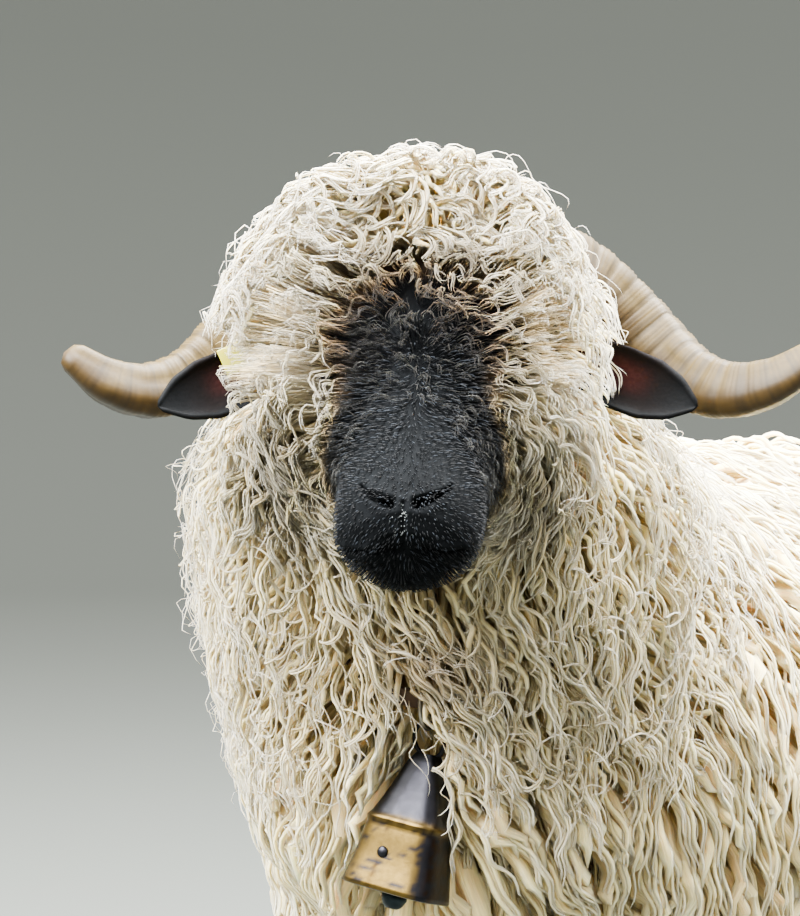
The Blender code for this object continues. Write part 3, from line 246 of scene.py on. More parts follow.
def head_coat(points):
    along, side, above = head_local(points)
    turn = np.arctan2(np.abs(side), above)
    top, under = rise(1.35, 0.25, turn), rise(1.9, 2.8, turn)
    flank = 1 - top - under
    cheek = CHEEK_COAT * mix(1.0, LEFT_CHEEK, rise(0.0, 0.06, side))
    cheek = cheek * mix(1.0, RIGHT_CHEEK, rise(0.0, -0.06, side))
    crown = mix(CROWN_COAT, BROW_COAT, rise(-0.020, 0.030, along) * rise(0.062, 0.046, np.abs(side)))
    full = crown * top + cheek * flank + THROAT_COAT * under
    line = WOOL_LINE_TOP * top + WOOL_LINE_SIDE * flank + WOOL_LINE_THROAT * under
    woolly = rise(line + WOOL_LINE_SOFTNESS, line - WOOL_LINE_SOFTNESS, along)
    eye = np.array((along - EYE_PLACE[0], np.abs(side) - EYE_PLACE[1], above - EYE_PLACE[2]))
    woolly = woolly * rise(EYE_RADIUS * 1.3, EYE_RADIUS * 3.4, np.linalg.norm(eye, axis=0))
    return FACE_COAT + (full - FACE_COAT) * woolly


def coat_depth(points, distances, out):
    """From the skin to the tips, blended from all parts of the body."""
    weights = np.exp((distances.min(axis=0) - distances) / PART_BLEND)
    weights /= weights.sum(axis=0)
    back, belly = rise(0.2, 0.9, out[:, 2]), rise(-0.3, -0.8, out[:, 2])
    trunk = FLANK_COAT + (BACK_COAT - FLANK_COAT) * back + (BELLY_COAT - FLANK_COAT) * belly
    trunk *= mix(1.0, SHOULDER_THIN, rise(-0.16, -0.30, points[:, 1]) * rise(0.1, 0.6, np.abs(out[:, 0])))
    neck = RUFF_COAT + (NAPE_COAT - RUFF_COAT) * back
    neck *= mix(1.0, NAPE_THIN, rise(0.76, 0.85, points[:, 2]))
    neck *= mix(1.0, RIGHT_RUFF, rise(-0.01, -0.08, points[:, 0]))
    table = np.array(LEG_COAT)
    leg = np.interp(points[:, 2], table[:, 0], table[:, 1])
    tail = TAIL_COAT * rise(TAIL_BARE - 0.05, TAIL_BARE + 0.06, points[:, 2]) + FACE_COAT
    parts = (trunk, neck, head_coat(points), leg, tail)
    return sum(weight * part for weight, part in zip(weights, parts))


def lie_of_coat(points, out, distances):
    """Down the body and off its middle line; on the head out from the crown and the nose."""
    near_head = rise(*HEAD_BLEND, distances[2])[:, None]
    offset = points - np.array(SKULL)
    along, side, above = head_local(points)
    radial = unit((offset - WHORL) * (1, 1, 0))
    on_face = rise(0.045, 0.095, offset @ np.array(LEVEL))[:, None]
    apart = np.tanh(side / PARTING)[:, None] * np.array(LEFT) * (0.10 + 1.00 * on_face)
    head_wish = radial * 0.60 * (1 - on_face) + apart - np.array(UP) * (0.85 + 0.10 * on_face)
    aside = 0.5 * np.tanh(points[:, 0] / 0.05)
    body_wish = np.stack([aside, np.full(len(points), -0.02), -np.ones(len(points))], axis=1)
    wish = body_wish * (1 - near_head) + head_wish * near_head
    flat = wish - out * (wish * out).sum(axis=1, keepdims=True)
    return flat / np.maximum(np.linalg.norm(flat, axis=1, keepdims=True), 0.25)


def survey():
    """Distance, way out, coat depth and lie of the coat at every point of the grid."""
    axes = [np.arange(low, high, GRID_STEP) for low, high in zip(GRID_LOW, GRID_HIGH)]
    shape = tuple(len(axis) for axis in axes)
    points = np.stack(np.meshgrid(*axes, indexing="ij"), axis=-1).reshape(-1, 3)
    distances = np.concatenate([part_distances(p) for p in np.array_split(points, 24)], axis=1)
    trunk, neck, head, legs, tail = distances
    skin = joined([joined([trunk, neck, head]), legs, tail], LIMB_SMOOTHING)
    out = np.stack(np.gradient(skin.reshape(shape), GRID_STEP), axis=-1).reshape(-1, 3)
    out = unit(out)
    depth = coat_depth(points, distances, out)
    lie = lie_of_coat(points, out, distances)
    table = np.concatenate([skin[:, None], out, depth[:, None], lie], axis=1).astype(np.float32)
    return table, shape


GRID, GRID_SHAPE = survey()


def sample(points):
    """The grid's values between its points: distance, way out (3), depth, lie (3)."""
    flat = points.reshape(-1, 3)
    spot = np.clip((flat - GRID_LOW) / GRID_STEP, 0, np.array(GRID_SHAPE) - 1.001)
    base = spot.astype(np.int64)
    part = spot - base
    found = np.zeros((len(flat), GRID.shape[1]))
    for corner in np.ndindex(2, 2, 2):
        where = base + corner
        index = (where[:, 0] * GRID_SHAPE[1] + where[:, 1]) * GRID_SHAPE[2] + where[:, 2]
        share = np.prod(np.where(corner, part, 1 - part), axis=1)
        found += GRID[index] * share[:, None]
    return found.reshape(*points.shape[:-1], -1)


def linear(value):
    return value / 12.92 if value <= 0.04045 else ((value + 0.055) / 1.055) ** 2.4


def color(code):
    """A linear colour from an sRGB hex code."""
    return tuple(linear(int(code[i : i + 2], 16) / 255) for i in (0, 2, 4)) + (1.0,)


def tone(code):
    return np.array(color(code)[:3])


def add_node(tree, kind, settings=None, links=None):
    """Adds a node, with values for its sockets and settings, and links into its sockets."""
    node = tree.nodes.new(kind)
    for key, value in (settings or {}).items():
        if isinstance(key, int) or key in node.inputs:
            node.inputs[key].default_value = value
        else:
            setattr(node, key, value)
    for key, source in (links or {}).items():
        tree.links.new(source, node.inputs[key])
    return node


def new_material(name, base, roughness, **sockets):
    """A Principled material with its constant values; returns it, its tree and its shader."""
    made = bpy.data.materials.new(name)
    made.use_nodes = True
    tree = made.node_tree
    shader = tree.nodes["Principled BSDF"]
    shader.inputs["Base Color"].default_value = color(base)
    shader.inputs["Roughness"].default_value = roughness
    for key, value in sockets.items():
        shader.inputs[key.replace("_", " ")].default_value = value
    return made, tree, shader


def mottle(tree, shader, layer, shades, relief, light, bump):
    """Varies the piece's own colours by one pattern, and roughens its surface by another."""
    hue = add_node(tree, "ShaderNodeAttribute", {"attribute_name": layer})
    ends = {"From Min": 0.3, "From Max": 0.7, "To Min": light[0], "To Max": light[1]}
    level = add_node(tree, "ShaderNodeMapRange", ends, {"Value": shades.outputs["Fac"]})
    parts = {0: hue.outputs["Color"], "Scale": level.outputs["Result"]}
    shaded = add_node(tree, "ShaderNodeVectorMath", {"operation": "SCALE"}, parts)
    sizes = {"Strength": bump[0], "Distance": bump[1]}
    rough = add_node(tree, "ShaderNodeBump", sizes, {"Height": relief.outputs["Fac"]})
    tree.links.new(shaded.outputs["Vector"], shader.inputs["Base Color"])
    tree.links.new(rough.outputs["Normal"], shader.inputs["Normal"])


def wool_material():
    """Greasy crimped sheep's wool: matt, streaked along its fibres, light glowing through it."""
    made, tree, shader = new_material(
        "sheep_wool",
        "F0DDB4",
        0.82,
        Sheen_Weight=0.06,
        Sheen_Roughness=0.45,
        Sheen_Tint=color("FFF6E4"),
        Specular_IOR_Level=0.06,
        Subsurface_Weight=0.7,
        Subsurface_Scale=0.012,
        Subsurface_Radius=(1.0, 0.78, 0.45),
    )
    place = add_node(tree, "ShaderNodeUVMap", {"uv_map": "UVMap"})
    along_fibres = {"Scale": (4.0, 14.0, 1.0)}
    fibre = add_node(tree, "ShaderNodeMapping", along_fibres, {"Vector": place.outputs["UV"]})
    pattern = {"Scale": 1.0, "Detail": 2.0, "Roughness": 0.6}
    streak = add_node(tree, "ShaderNodeTexNoise", pattern, {"Vector": fibre.outputs[0]})
    mottle(tree, shader, "coat", streak, streak, (0.74, 1.10), (0.9, 0.0016))
    return made


def hair_material():
    """Short straight hair of face and feet: black and smooth, with a cool sheen painted into its colours.
    """
    made, tree, shader = new_material("short_black_hair", "070809", 0.5, Specular_IOR_Level=0.07)
    hue = add_node(tree, "ShaderNodeAttribute", {"attribute_name": "coat"})
    tree.links.new(hue.outputs["Color"], shader.inputs["Base Color"])
    return made


def skin_material():
    """Sheep's skin: black and closely haired on face and feet, matt wool felt elsewhere."""
    made, tree, shader = new_material("haired_skin", "070809", 0.7, Specular_IOR_Level=0.01)
    place = add_node(tree, "ShaderNodeTexCoord")
    fine, broad = (
        add_node(tree, "ShaderNodeTexNoise", pattern, {"Vector": place.outputs["Object"]})
        for pattern in ({"Scale": 900.0, "Detail": 2.0}, {"Scale": 60.0, "Detail": 3.0})
    )
    mottle(tree, shader, "coat", broad, fine, (0.8, 1.25), (0.35, 0.0006))
    return made


def settle(piece, slot, *nodes):
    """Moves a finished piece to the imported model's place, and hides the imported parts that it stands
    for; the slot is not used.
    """
    piece.data.transform(Matrix.Translation(SHIFT))
    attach(piece, "root")
    if nodes:
        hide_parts(*nodes)
    return piece


def active(piece):
    bpy.ops.object.select_all(action="DESELECT")
    piece.select_set(True)
    bpy.context.view_layer.objects.active = piece


def modify(piece, kind, **settings):
    added = piece.modifiers.new(kind.title(), kind)
    for key, value in settings.items():
        setattr(added, key, value)
    active(piece)
    bpy.ops.object.modifier_apply(modifier=added.name)


def join(name, pieces):
    bpy.ops.object.select_all(action="DESELECT")
    for piece in pieces:
        piece.select_set(True)
    bpy.context.view_layer.objects.active = pieces[0]
    bpy.ops.object.join()
    bpy.ops.object.transform_apply(location=True, rotation=True, scale=True)
    pieces[0].name = name
    pieces[0].data.name = name
    return pieces[0]


def get_points(piece):
    flat = np.empty(len(piece.data.vertices) * 3)
    piece.data.vertices.foreach_get("co", flat)
    return flat.reshape(-1, 3)


def set_points(piece, points):
    piece.data.vertices.foreach_set("co", np.ascontiguousarray(points, dtype=np.float32).ravel())
    piece.data.update()


def paint(piece, colors, name="coat"):
    """Keeps a colour for every vertex."""
    layer = piece.data.color_attributes.new(name, "FLOAT_COLOR", "POINT")
    full = np.ones((len(colors), 4), dtype=np.float32)
    full[:, :3] = colors
    layer.data.foreach_set("color", full.ravel())


def paint_all(piece, code):
    paint(piece, np.repeat(tone(code)[None], len(piece.data.vertices), axis=0), "tint")


def select_faces(piece, chosen):
    """Goes into edit mode with only the chosen faces selected."""
    active(piece)
    bpy.context.tool_settings.mesh_select_mode = (False, False, True)
    mesh = piece.data
    mesh.vertices.foreach_set("select", np.zeros(len(mesh.vertices), bool))
    mesh.edges.foreach_set("select", np.zeros(len(mesh.edges), bool))
    mesh.polygons.foreach_set("select", chosen)
    bpy.ops.object.mode_set(mode="EDIT")


def face_middles(piece):
    flat = np.empty(len(piece.data.polygons) * 3)
    piece.data.polygons.foreach_get("center", flat)
    return flat.reshape(-1, 3)


def smooth_path(points, count):
    """Points spread evenly along a Catmull-Rom curve through points of any width."""
    knots = np.array(points, dtype=float)
    knots = np.vstack([2 * knots[0] - knots[1], knots, 2 * knots[-1] - knots[-2]])
    fine = []
    for i in range(1, len(knots) - 2):
        a, b, c, d = knots[i - 1 : i + 3]
        for t in np.linspace(0, 1, 24, endpoint=i == len(knots) - 3):
            bend = (2 * a - 5 * b + 4 * c - d) * t**2 + (3 * b - a - 3 * c + d) * t**3
            fine.append(0.5 * (2 * b + (c - a) * t + bend))
    fine = np.array(fine)
    run = np.concatenate([[0], np.cumsum(np.linalg.norm(np.diff(fine[:, :3], axis=0), axis=1))])
    marks = np.linspace(0, run[-1], count)
    return np.stack([np.interp(marks, run, fine[:, i]) for i in range(fine.shape[1])], axis=1)


def curve_distance(points, line):
    """Distance from points to a line of points, and how far along it the nearest place is."""
    line = np.array(line, dtype=float)
    best = np.full(len(points), 1e9)
    share = np.zeros(len(points))
    for i, (a, b) in enumerate(zip(line, line[1:])):
        along = np.clip((points - a) @ (b - a) / ((b - a) @ (b - a)), 0.0, 1.0)
        found = np.linalg.norm(points - a - along[:, None] * (b - a), axis=1)
        share = np.where(found < best, (i + along) / (len(line) - 1), share)
        best = np.minimum(best, found)
    return best, share


def on_muzzle(along, side):
    """A point of the muzzle's upper surface, in the head's own axes."""
    table = np.array(HEAD_SECTIONS)
    half, top, under = (float(np.interp(along, table[:, 0], table[:, i])) for i in (1, 2, 3))
    middle, height = (top - under) / 2, (top + under) / 2
    return along, side, middle + height * math.sqrt(max(0.0, 1 - (side / half) ** 2))


# Lines on the face, in the head's own axes: nostrils, mouth and the groove between them.
NOSTRIL_PLACES = (
    (0.2030, 0.0292),
    (0.2090, 0.0262),
    (0.2155, 0.0205),
    (0.2205, 0.0140),
    (0.2230, 0.0092),
)
NOSTRIL = [on_muzzle(*place) for place in NOSTRIL_PLACES]
MOUTH = [
    (0.2400, 0.0000, 0.0025),
    (0.2375, 0.0150, 0.0000),
    (0.2310, 0.0270, -0.0050),
    (0.2220, 0.0360, -0.0105),
    (0.2050, 0.0430, -0.0170),
    (0.1850, 0.0450, -0.0215),
    (0.1660, 0.0440, -0.0235),
]
PHILTRUM = [(0.2240, 0.0, 0.0290), (0.2300, 0.0, 0.0235), (0.2370, 0.0, 0.0130), (0.2400, 0.0, 0.0035)]
FACE_LINES = {}
SKIN_VOXEL = 0.0062
JAW_NARROWING = 0.0055
NOSTRIL_DEPTH, NOSTRIL_WIDTH, NOSTRIL_RIM = 0.0100, (0.0013, 0.0028), 0.0009
MOUTH_DEPTH, MOUTH_WIDTH, LIP_FULLNESS = 0.0048, 0.0014, 0.0014
GROOVE_DEPTH, GROOVE_WIDTH, GROOVE_RIM = 0.0019, 0.0011, 0.0006
EYELID_LONG, EYELID_HIGH = 0.0128, 0.0066
LID_OUT, OPENING_IN = 0.0030, 0.0035


def bead(place, radius, fineness=2):
    bpy.ops.mesh.primitive_ico_sphere_add(subdivisions=fineness, radius=radius, location=place)
    return bpy.context.object


def beads_along(spheres, spacing):
    """Overlapping balls along a line of spheres."""
    made = []
    for first, second in zip(spheres, spheres[1:]):
        a, b = np.array(first), np.array(second)
        steps = max(1, math.ceil(np.linalg.norm((b - a)[:3]) / spacing))
        for i in range(steps + 1):
            x, y, z, radius = mix(a, b, i / steps)
            made.append(bead((x, y, z), radius, 3 if radius > 0.05 else 2))
    return made


def exact_slope(points, step=0.0008):
    """The way out of the skin, from the fields themselves."""
    steps = step * np.eye(3)
    grown = [skin_distance(points + move) - skin_distance(points - move) for move in steps]
    return unit(np.stack(grown, axis=1))


def fit_to_skin(piece):
    """Moves every vertex onto the skin: by the grid, and on the head by the exact fields."""
    points = get_points(piece)
    for _ in range(5):
        here = sample(points)
        points -= here[:, 1:4] * here[:, :1]
    near = head_distance(points) < 0.03
    for _ in range(2):
        ways = exact_slope(points[near])
        points[near] -= ways * skin_distance(points[near])[:, None]
    set_points(piece, points)


def on_skin(line):
    """The same line laid on the skin, in the head's own axes."""
    places = np.array([at_head(*point) for point in smooth_path(line, 16)])
    for _ in range(6):
        places -= exact_slope(places) * skin_distance(places)[:, None]
    return np.stack(head_local(places), axis=1)


def face_line_distance(points):
    """How far points are from the nostrils, the mouth and the groove of the lip."""
    along, side, above = head_local(points)
    local = np.stack([along, np.abs(side), above], axis=1)
    return np.min([curve_distance(local, line)[0] for line in FACE_LINES.values()], axis=0)


def shape_face(piece):
    """Nostrils, mouth, lips, the groove of the upper lip, the narrowing of the jaw and eyelids."""
    points = get_points(piece)
    near = np.flatnonzero(head_distance(points) < 0.012)
    spots = points[near]
    along, side, above = head_local(spots)
    local = np.stack([along, np.abs(side), above], axis=1)
    out = exact_slope(spots)
    nostril, share = curve_distance(local, FACE_LINES["nostril"])
    width = mix(*NOSTRIL_WIDTH, rise(0.1, 0.9, share))
    push = -NOSTRIL_DEPTH * mix(0.5, 1.0, rise(0.1, 0.8, share)) * np.exp(-((nostril / width) ** 2))
    push += NOSTRIL_RIM * np.exp(-(((nostril - width * 2.0) / 0.0040) ** 2))
    mouth, share = curve_distance(local, FACE_LINES["mouth"])
    fade = mix(1.0, 0.35, share)
    push -= MOUTH_DEPTH * fade * np.exp(-((mouth / MOUTH_WIDTH) ** 2))
    push += LIP_FULLNESS * fade * np.exp(-(((mouth - 0.0050) / 0.0030) ** 2))
    groove, _ = curve_distance(local, FACE_LINES["groove"])
    push -= GROOVE_DEPTH * np.exp(-((groove / GROOVE_WIDTH) ** 2))
    push += GROOVE_RIM * np.exp(-(((groove - 0.0034) / 0.0016) ** 2))
    jaw = rise(0.15, 0.21, along) * rise(-0.004, -0.034, above)
    push -= JAW_NARROWING * jaw * rise(0.008, 0.032, np.abs(side))
    spots = spots + out * push[:, None]
    for _, sign in SIDES:
        centre = np.array(eye_centre(sign))
        offset = spots - centre
        reach = np.linalg.norm(offset, axis=1)
        level = offset @ np.array(NOSE), offset @ np.array(CROWN)
        almond = np.hypot(level[0] / EYELID_LONG, level[1] / EYELID_HIGH)
        facing = offset @ np.array(LEFT) * sign > 0.002
        opening = rise(1.18, 0.92, almond)
        lid = mix(EYE_RADIUS + LID_OUT, EYE_RADIUS - OPENING_IN, opening)
        weight = np.where(facing, rise(2.4, 1.35, almond), 0.0)
        spots = centre + offset * (mix(reach, lid, weight) / np.maximum(reach, 1e-6))[:, None]
    points[near] = spots
    set_points(piece, points)


def refine(skin, chosen):
    """Halves the chosen faces and lays the new points on the skin."""
    select_faces(skin, chosen)
    bpy.ops.mesh.subdivide(number_cuts=1)
    bpy.ops.object.mode_set(mode="OBJECT")
    fit_to_skin(skin)


def make_skin():
    """One closed skin from lips to tail and feet."""
    FACE_LINES.update(nostril=on_skin(NOSTRIL), mouth=on_skin(MOUTH), groove=on_skin(PHILTRUM))
    balls = beads_along(TRUNK, 0.035) + beads_along(NECK, 0.03) + beads_along(TAIL, 0.02)
    for limb in (SHOULDER, mirrored(SHOULDER), THIGH, mirrored(THIGH)):
        balls += beads_along(limb, 0.03)
    for _, sign in SIDES:
        for leg in (FRONT_LEG, HIND_LEG):
            sections = [(sign * x, y, z, min(wide, deep)) for z, x, y, wide, deep in leg]
            first = sections[0]
            sections[0] = (first[0], first[1], first[2] + first[3], first[3])
            balls += beads_along(sections, 0.012)
    for a, half, top, under in HEAD_SECTIONS:
        held = min(a, HEAD_SECTIONS[-1][0] - half)
        balls.append(bead(at_head(held, 0, (top - under) / 2), min(half, (top + under) / 2)))
    skin = join("skin", balls)
    modify(skin, "REMESH", mode="VOXEL", voxel_size=SKIN_VOXEL)
    fit_to_skin(skin)
    modify(skin, "SMOOTH", factor=0.5, iterations=3)
    fit_to_skin(skin)
    for closest, eyes in ((0.085, 0.040), (0.150, 0.026)):
        middles = face_middles(skin)
        along, side, above = head_local(middles)
        spots = np.stack([along, np.abs(side), above], axis=1)
        eye = np.linalg.norm(spots - np.array(EYE_PLACE), axis=1)
        refine(skin, (head_distance(middles) < 0.03) & ((along > closest) | (eye < eyes)))
    refine(skin, face_line_distance(face_middles(skin)) < 0.009)
    shape_face(skin)
    skin.data.shade_smooth()
    return skin


def unwrap(skin):
    """Lays the skin out flat by its own shape."""
    select_faces(skin, np.ones(len(skin.data.polygons), bool))
    bpy.ops.uv.smart_project(angle_limit=math.radians(66), island_margin=0.001)
    bpy.ops.object.mode_set(mode="OBJECT")


def frontal(points):
    """Places on the face as seen from before it: aside, up and forwards of the skull."""
    offset = points - np.array(SKULL)
    return offset @ np.array(LEFT), offset[..., 2], offset @ np.array(LEVEL)


# Colours of the coat, from sRGB codes.
BLACK, SOOT, UMBER, GREY_BROWN = tone("070809"), tone("100D0B"), tone("2A2117"), tone("504333")
BEIGE, CREAM, WHITE, GOLD = tone("937E5B"), tone("F0D294"), tone("FBE8B6"), tone("D6B478")
# The slate grey is painted sheen on the black hair, not a colour that the hair has.
STAIN, ROSE, EARTH, SHEEN_SLATE = tone("2E2117"), tone("664F3C"), tone("A4885F"), tone("121519")
FACE_STOPS = (  # how far out on the face, and the wool's colour there
    (0.00, BLACK),
    (0.56, BLACK),
    (0.64, SOOT),
    (0.73, UMBER),
    (0.85, GREY_BROWN),
    (1.06, BEIGE),
    (1.40, CREAM),
)
# Soft patches on the front of head and throat: aside, up, half width, half height.
LEFT_STAIN, RIGHT_STAIN = (0.074, -0.120, 0.032, 0.062), (-0.080, -0.118, 0.042, 0.060)
THROAT_PATCH, CHEEK_PATCH = (0.012, -0.240, 0.060, 0.045), (-0.105, -0.085, 0.034, 0.060)
KNEE_HEIGHT, KNEE_PATCH, BLACK_FOOT = 0.232, 0.022, 0.112


def blot(points, aside, up, wide, high):
    """A soft round patch on the front of head and throat, from 1 in its middle to 0."""
    s, h, f = frontal(points)
    return np.exp(-(((s - aside) / wide) ** 2) - ((h - up) / high) ** 2) * rise(-0.24, -0.16, f)


def blend_tones(value, stops):
    """A colour between those of the stops, each at a value."""
    marks = [stop[0] for stop in stops]
    return np.stack([np.interp(value, marks, [stop[1][i] for stop in stops]) for i in range(3)], axis=-1)


def wander(points, size, seed):
    """Smooth noise between about -1 and 1, from a few waves."""
    draw = np.random.default_rng(seed)
    total = np.zeros(points.shape[:-1])
    for _ in range(6):
        way = draw.normal(size=3)
        way *= 2 * math.pi / size * draw.uniform(0.6, 1.5) / np.linalg.norm(way)
        total += np.sin(points @ way + draw.uniform(0, 2 * math.pi))
    return total / 2.6


def face_ring(s, h):
    """How far places lie from the middle of the dark face, 1 where the pale wool begins."""
    return np.hypot(s / mix(0.050, 0.088, rise(-0.06, 0.0, h)), (h + 0.050) / 0.115)


def coat_tones(points, share, jitter):
    """The colour of wool at points, given how far from root to tip each one is."""
    s, h, f = frontal(points)
    along, side, above = head_local(points)
    clean = CREAM + (WHITE - CREAM) * rise(0.35, 1.0, share)[..., None]
    # Roots run to gold: partly the yellow grease of the fleece, partly painted shade deep in the coat.
    deep = rise(0.45, 0.0, share)[..., None]
    clean = mix(clean, GOLD, 0.55 * deep)
    dingy = rise(-0.2, 1.0, wander(points, 0.16, 5))[..., None]
    clean = mix(clean, EARTH, 0.22 * dingy)
    ring = face_ring(s, h) + 0.05 * jitter + 0.06 * wander(points, 0.04, 3)
    # On the face the roots are darker: painted shade deep in the hair.
    tips, roots = rise(0.25, 1.0, share), rise(0.35, 0.1, share)
    ring = ring + 0.16 * tips * rise(0.68, 0.85, ring) - 0.10 * roots
    mask = blend_tones(ring, FACE_STOPS)
    masked = rise(1.60, 1.25, ring) * rise(-0.10, -0.04, f) * rise(0.085, 0.045, h)
    found = mix(clean, mask, masked[..., None])
    brown = blot(points, *RIGHT_STAIN) + blot(points, *LEFT_STAIN)
    found = mix(found, STAIN, (np.clip(brown + 0.1 * jitter, 0, 1) * 0.95)[..., None])
    found = mix(found, ROSE, (0.80 * blot(points, *THROAT_PATCH))[..., None])
    found = mix(found, GREY_BROWN, (0.75 * blot(points, *CHEEK_PATCH))[..., None])
    eye = np.stack([along - EYE_PLACE[0], np.abs(side) - EYE_PLACE[1], above - EYE_PLACE[2]], axis=-1)
    near_eye = rise(0.040, 0.024, np.linalg.norm(eye, axis=-1) + 0.004 * jitter)
    found = mix(found, BLACK, near_eye[..., None])
    from_head = head_distance(points.reshape(-1, 3)).reshape(along.shape)
    onward = along + 0.008 * jitter - 0.045 * rise(-0.020, -0.045, above)
    bare = rise(0.096, 0.112, onward) * rise(0.030, 0.012, from_head)
    found = mix(found, BLACK, bare[..., None])
    # Painted sheen: a bluish-grey highlight in streaks over the hair of the nose bridge.
    painted_bridge_sheen = np.exp(-(((along - 0.150) / 0.030) ** 2) - (side / 0.026) ** 2) * rise(0.0, 0.02, above)
    streaks = rise(-0.8, 0.8, jitter + wander(points, 0.012, 4))
    found = mix(found, SHEEN_SLATE, (0.9 * painted_bridge_sheen * rise(0.2, 0.6, share) * streaks)[..., None])
    z = points[..., 2] + 0.006 * jitter
    knee = rise(KNEE_PATCH + 0.006, KNEE_PATCH - 0.006, np.abs(z - KNEE_HEIGHT))
    y = points[..., 1]
    knee = knee * np.where(y < 0, rise(-0.225, -0.245, y), rise(0.33, 0.36, y))
    foot = rise(BLACK_FOOT + 0.008, BLACK_FOOT - 0.008, z)
    return mix(found, BLACK, np.maximum(knee, foot)[..., None])


def scatter(skin, count):
    """Random places all over the skin, with their places on its unwrap."""
    mesh = skin.data
    mesh.calc_loop_triangles()
    total = len(mesh.loop_triangles)
    corners, loops = np.empty(total * 3, np.int32), np.empty(total * 3, np.int32)
    mesh.loop_triangles.foreach_get("vertices", corners)
    mesh.loop_triangles.foreach_get("loops", loops)
    area = np.empty(total)
    mesh.loop_triangles.foreach_get("area", area)
    flat = np.empty(len(mesh.loops) * 2)
    mesh.uv_layers[0].data.foreach_get("uv", flat)
    chosen = rng.choice(total, count, p=area / area.sum())
    a, b = rng.random(count), rng.random(count)
    a, b = np.where(a + b > 1, 1 - a, a), np.where(a + b > 1, 1 - b, b)
    shares = np.stack([1 - a - b, a, b], axis=1)[:, :, None]
    places = (get_points(skin)[corners.reshape(-1, 3)[chosen]] * shares).sum(axis=1)
    unwrapped = (flat.reshape(-1, 2)[loops.reshape(-1, 3)[chosen]] * shares).sum(axis=1)
    return places, unwrapped


def spread(places, spacing):
    """Picks about one place in every small cube of space, so that they lie evenly."""
    cells = np.floor(places / spacing).astype(np.int64) + 500
    key = (cells[:, 0] * 1000 + cells[:, 1]) * 1000 + cells[:, 2]
    order = rng.permutation(len(places))
    _, first = np.unique(key[order], return_index=True)
    return order[first]


def along_guides(guides, spots):
    """Points on smooth curves through each guide's points, at shares from 0 to 1."""
    last = guides.shape[1] - 1
    spot = np.clip(spots, 0, 1) * last
    base = np.minimum(spot.astype(int), last - 1)
    t = (spot - base)[..., None]
    row = np.arange(len(guides))[:, None]
    a, b = guides[row, np.maximum(base - 1, 0)], guides[row, base]
    c, d = guides[row, base + 1], guides[row, np.minimum(base + 2, last)]
    return 0.5 * (
        2 * b + (c - a) * t + (2 * a - 5 * b + 4 * c - d) * t**2 + (3 * b - a - 3 * c + d) * t**3
    )


def march(places, recipe):
    """Lays the locks along the coat: from the skin up to the tips' level, then down the lie."""
    steps = 8
    here = sample(places)
    short = np.clip(here[:, 4] / recipe["depth"], 0.18, 1.0)
    lengths = recipe["length"] * short * rng.uniform(0.80, 1.15, len(places))
    along, _, above = head_local(places)
    chin = rise(-0.015, -0.040, above) * rise(0.04, 0.09, along)
    lengths *= mix(1.0, recipe["muzzle"], np.maximum(rise(0.14, 0.20, along), chin))
    top = recipe["top"] * rng.uniform(0.88, 1.04, len(places))
    turned = rng.normal(0, recipe["stray"], len(places))
    points = places + here[:, 1:4] * (recipe["low"] * here[:, 4])[:, None]
    guides, ups = [points], [here[:, 1:4]]
    for i in range(1, steps + 1):
        share = i / steps
        here = sample(points)
        aside = np.cross(here[:, 1:4], here[:, 5:8])
        veer = turned + recipe["sway"] * wander(points, 0.085, 11)
        points = points + unit(here[:, 5:8] + aside * veer[:, None]) * (lengths / steps)[:, None]
        here = sample(points)
        level = recipe["low"] + (top - recipe["low"]) * rise(-0.08, recipe["climb"], share)
        points = points + here[:, 1:4] * (level * here[:, 4] - here[:, 0])[:, None]
        guides.append(points)
        ups.append(here[:, 1:4])
    return np.array(guides).transpose(1, 0, 2), np.array(ups).transpose(1, 0, 2), short


def near_ear(points, which, sign):
    """Within the room in front of an ear's cup, and close round the ear."""
    root, tip, across, face = (np.array(v) for v in ear_frame(sign))
    table = np.array(EAR_PROFILE)
    share = (points - root) @ (tip - root) / ((tip - root) @ (tip - root))
    offset = points - root - share[..., None] * (tip - root)
    half = np.interp(share, table[:, 0], table[:, 1])
    level, aside = offset @ face, np.abs(offset @ across)
    beside = (share > EAR_CLEAR[which]) & (share < 1.1) & (aside < half + 0.004)
    return beside & (np.abs(level - 0.018) < 0.034)


def near_horn(points, which, sign):
    """Close round the part of a horn that stands clear of the wool."""
    places, radii = horn_spine(which, sign, 60)
    start = int(60 * HORN_CLEAR[which])
    found, share = curve_distance(points.reshape(-1, 3), places[start:])
    radius = np.interp(share, np.linspace(0, 1, 60 - start), radii[start:])
    return (found < radius + 0.010 * rise(0.0, 0.25, share) + 0.001).reshape(points.shape[:-1])


def near_bell(points):
    """The dent in front of the bell and its ring; wool may lap over the bell's left edge."""
    across, front, below = (np.array(v) for v in bell_axes())
    table = np.array(BELL_PROFILE)
    offset = points - np.array(BELL_TOP)
    down, aside, ahead = offset @ below, offset @ across, offset @ front
    wide, deep = (np.interp(down, table[:, 0], table[:, i]) for i in (1, 2))
    in_front = (aside > -wide - 0.004) & (aside < wide * 0.92) & (ahead > -deep - 0.002)
    hook = points - np.array(STRAP_FRONT) - (0.0, -0.016, -0.014)
    shown = (np.linalg.norm(hook, axis=-1) < 0.022) & (np.abs(hook[..., 0]) < 0.008)
    return in_front & (down > -0.006) & (down < 0.125) | shown


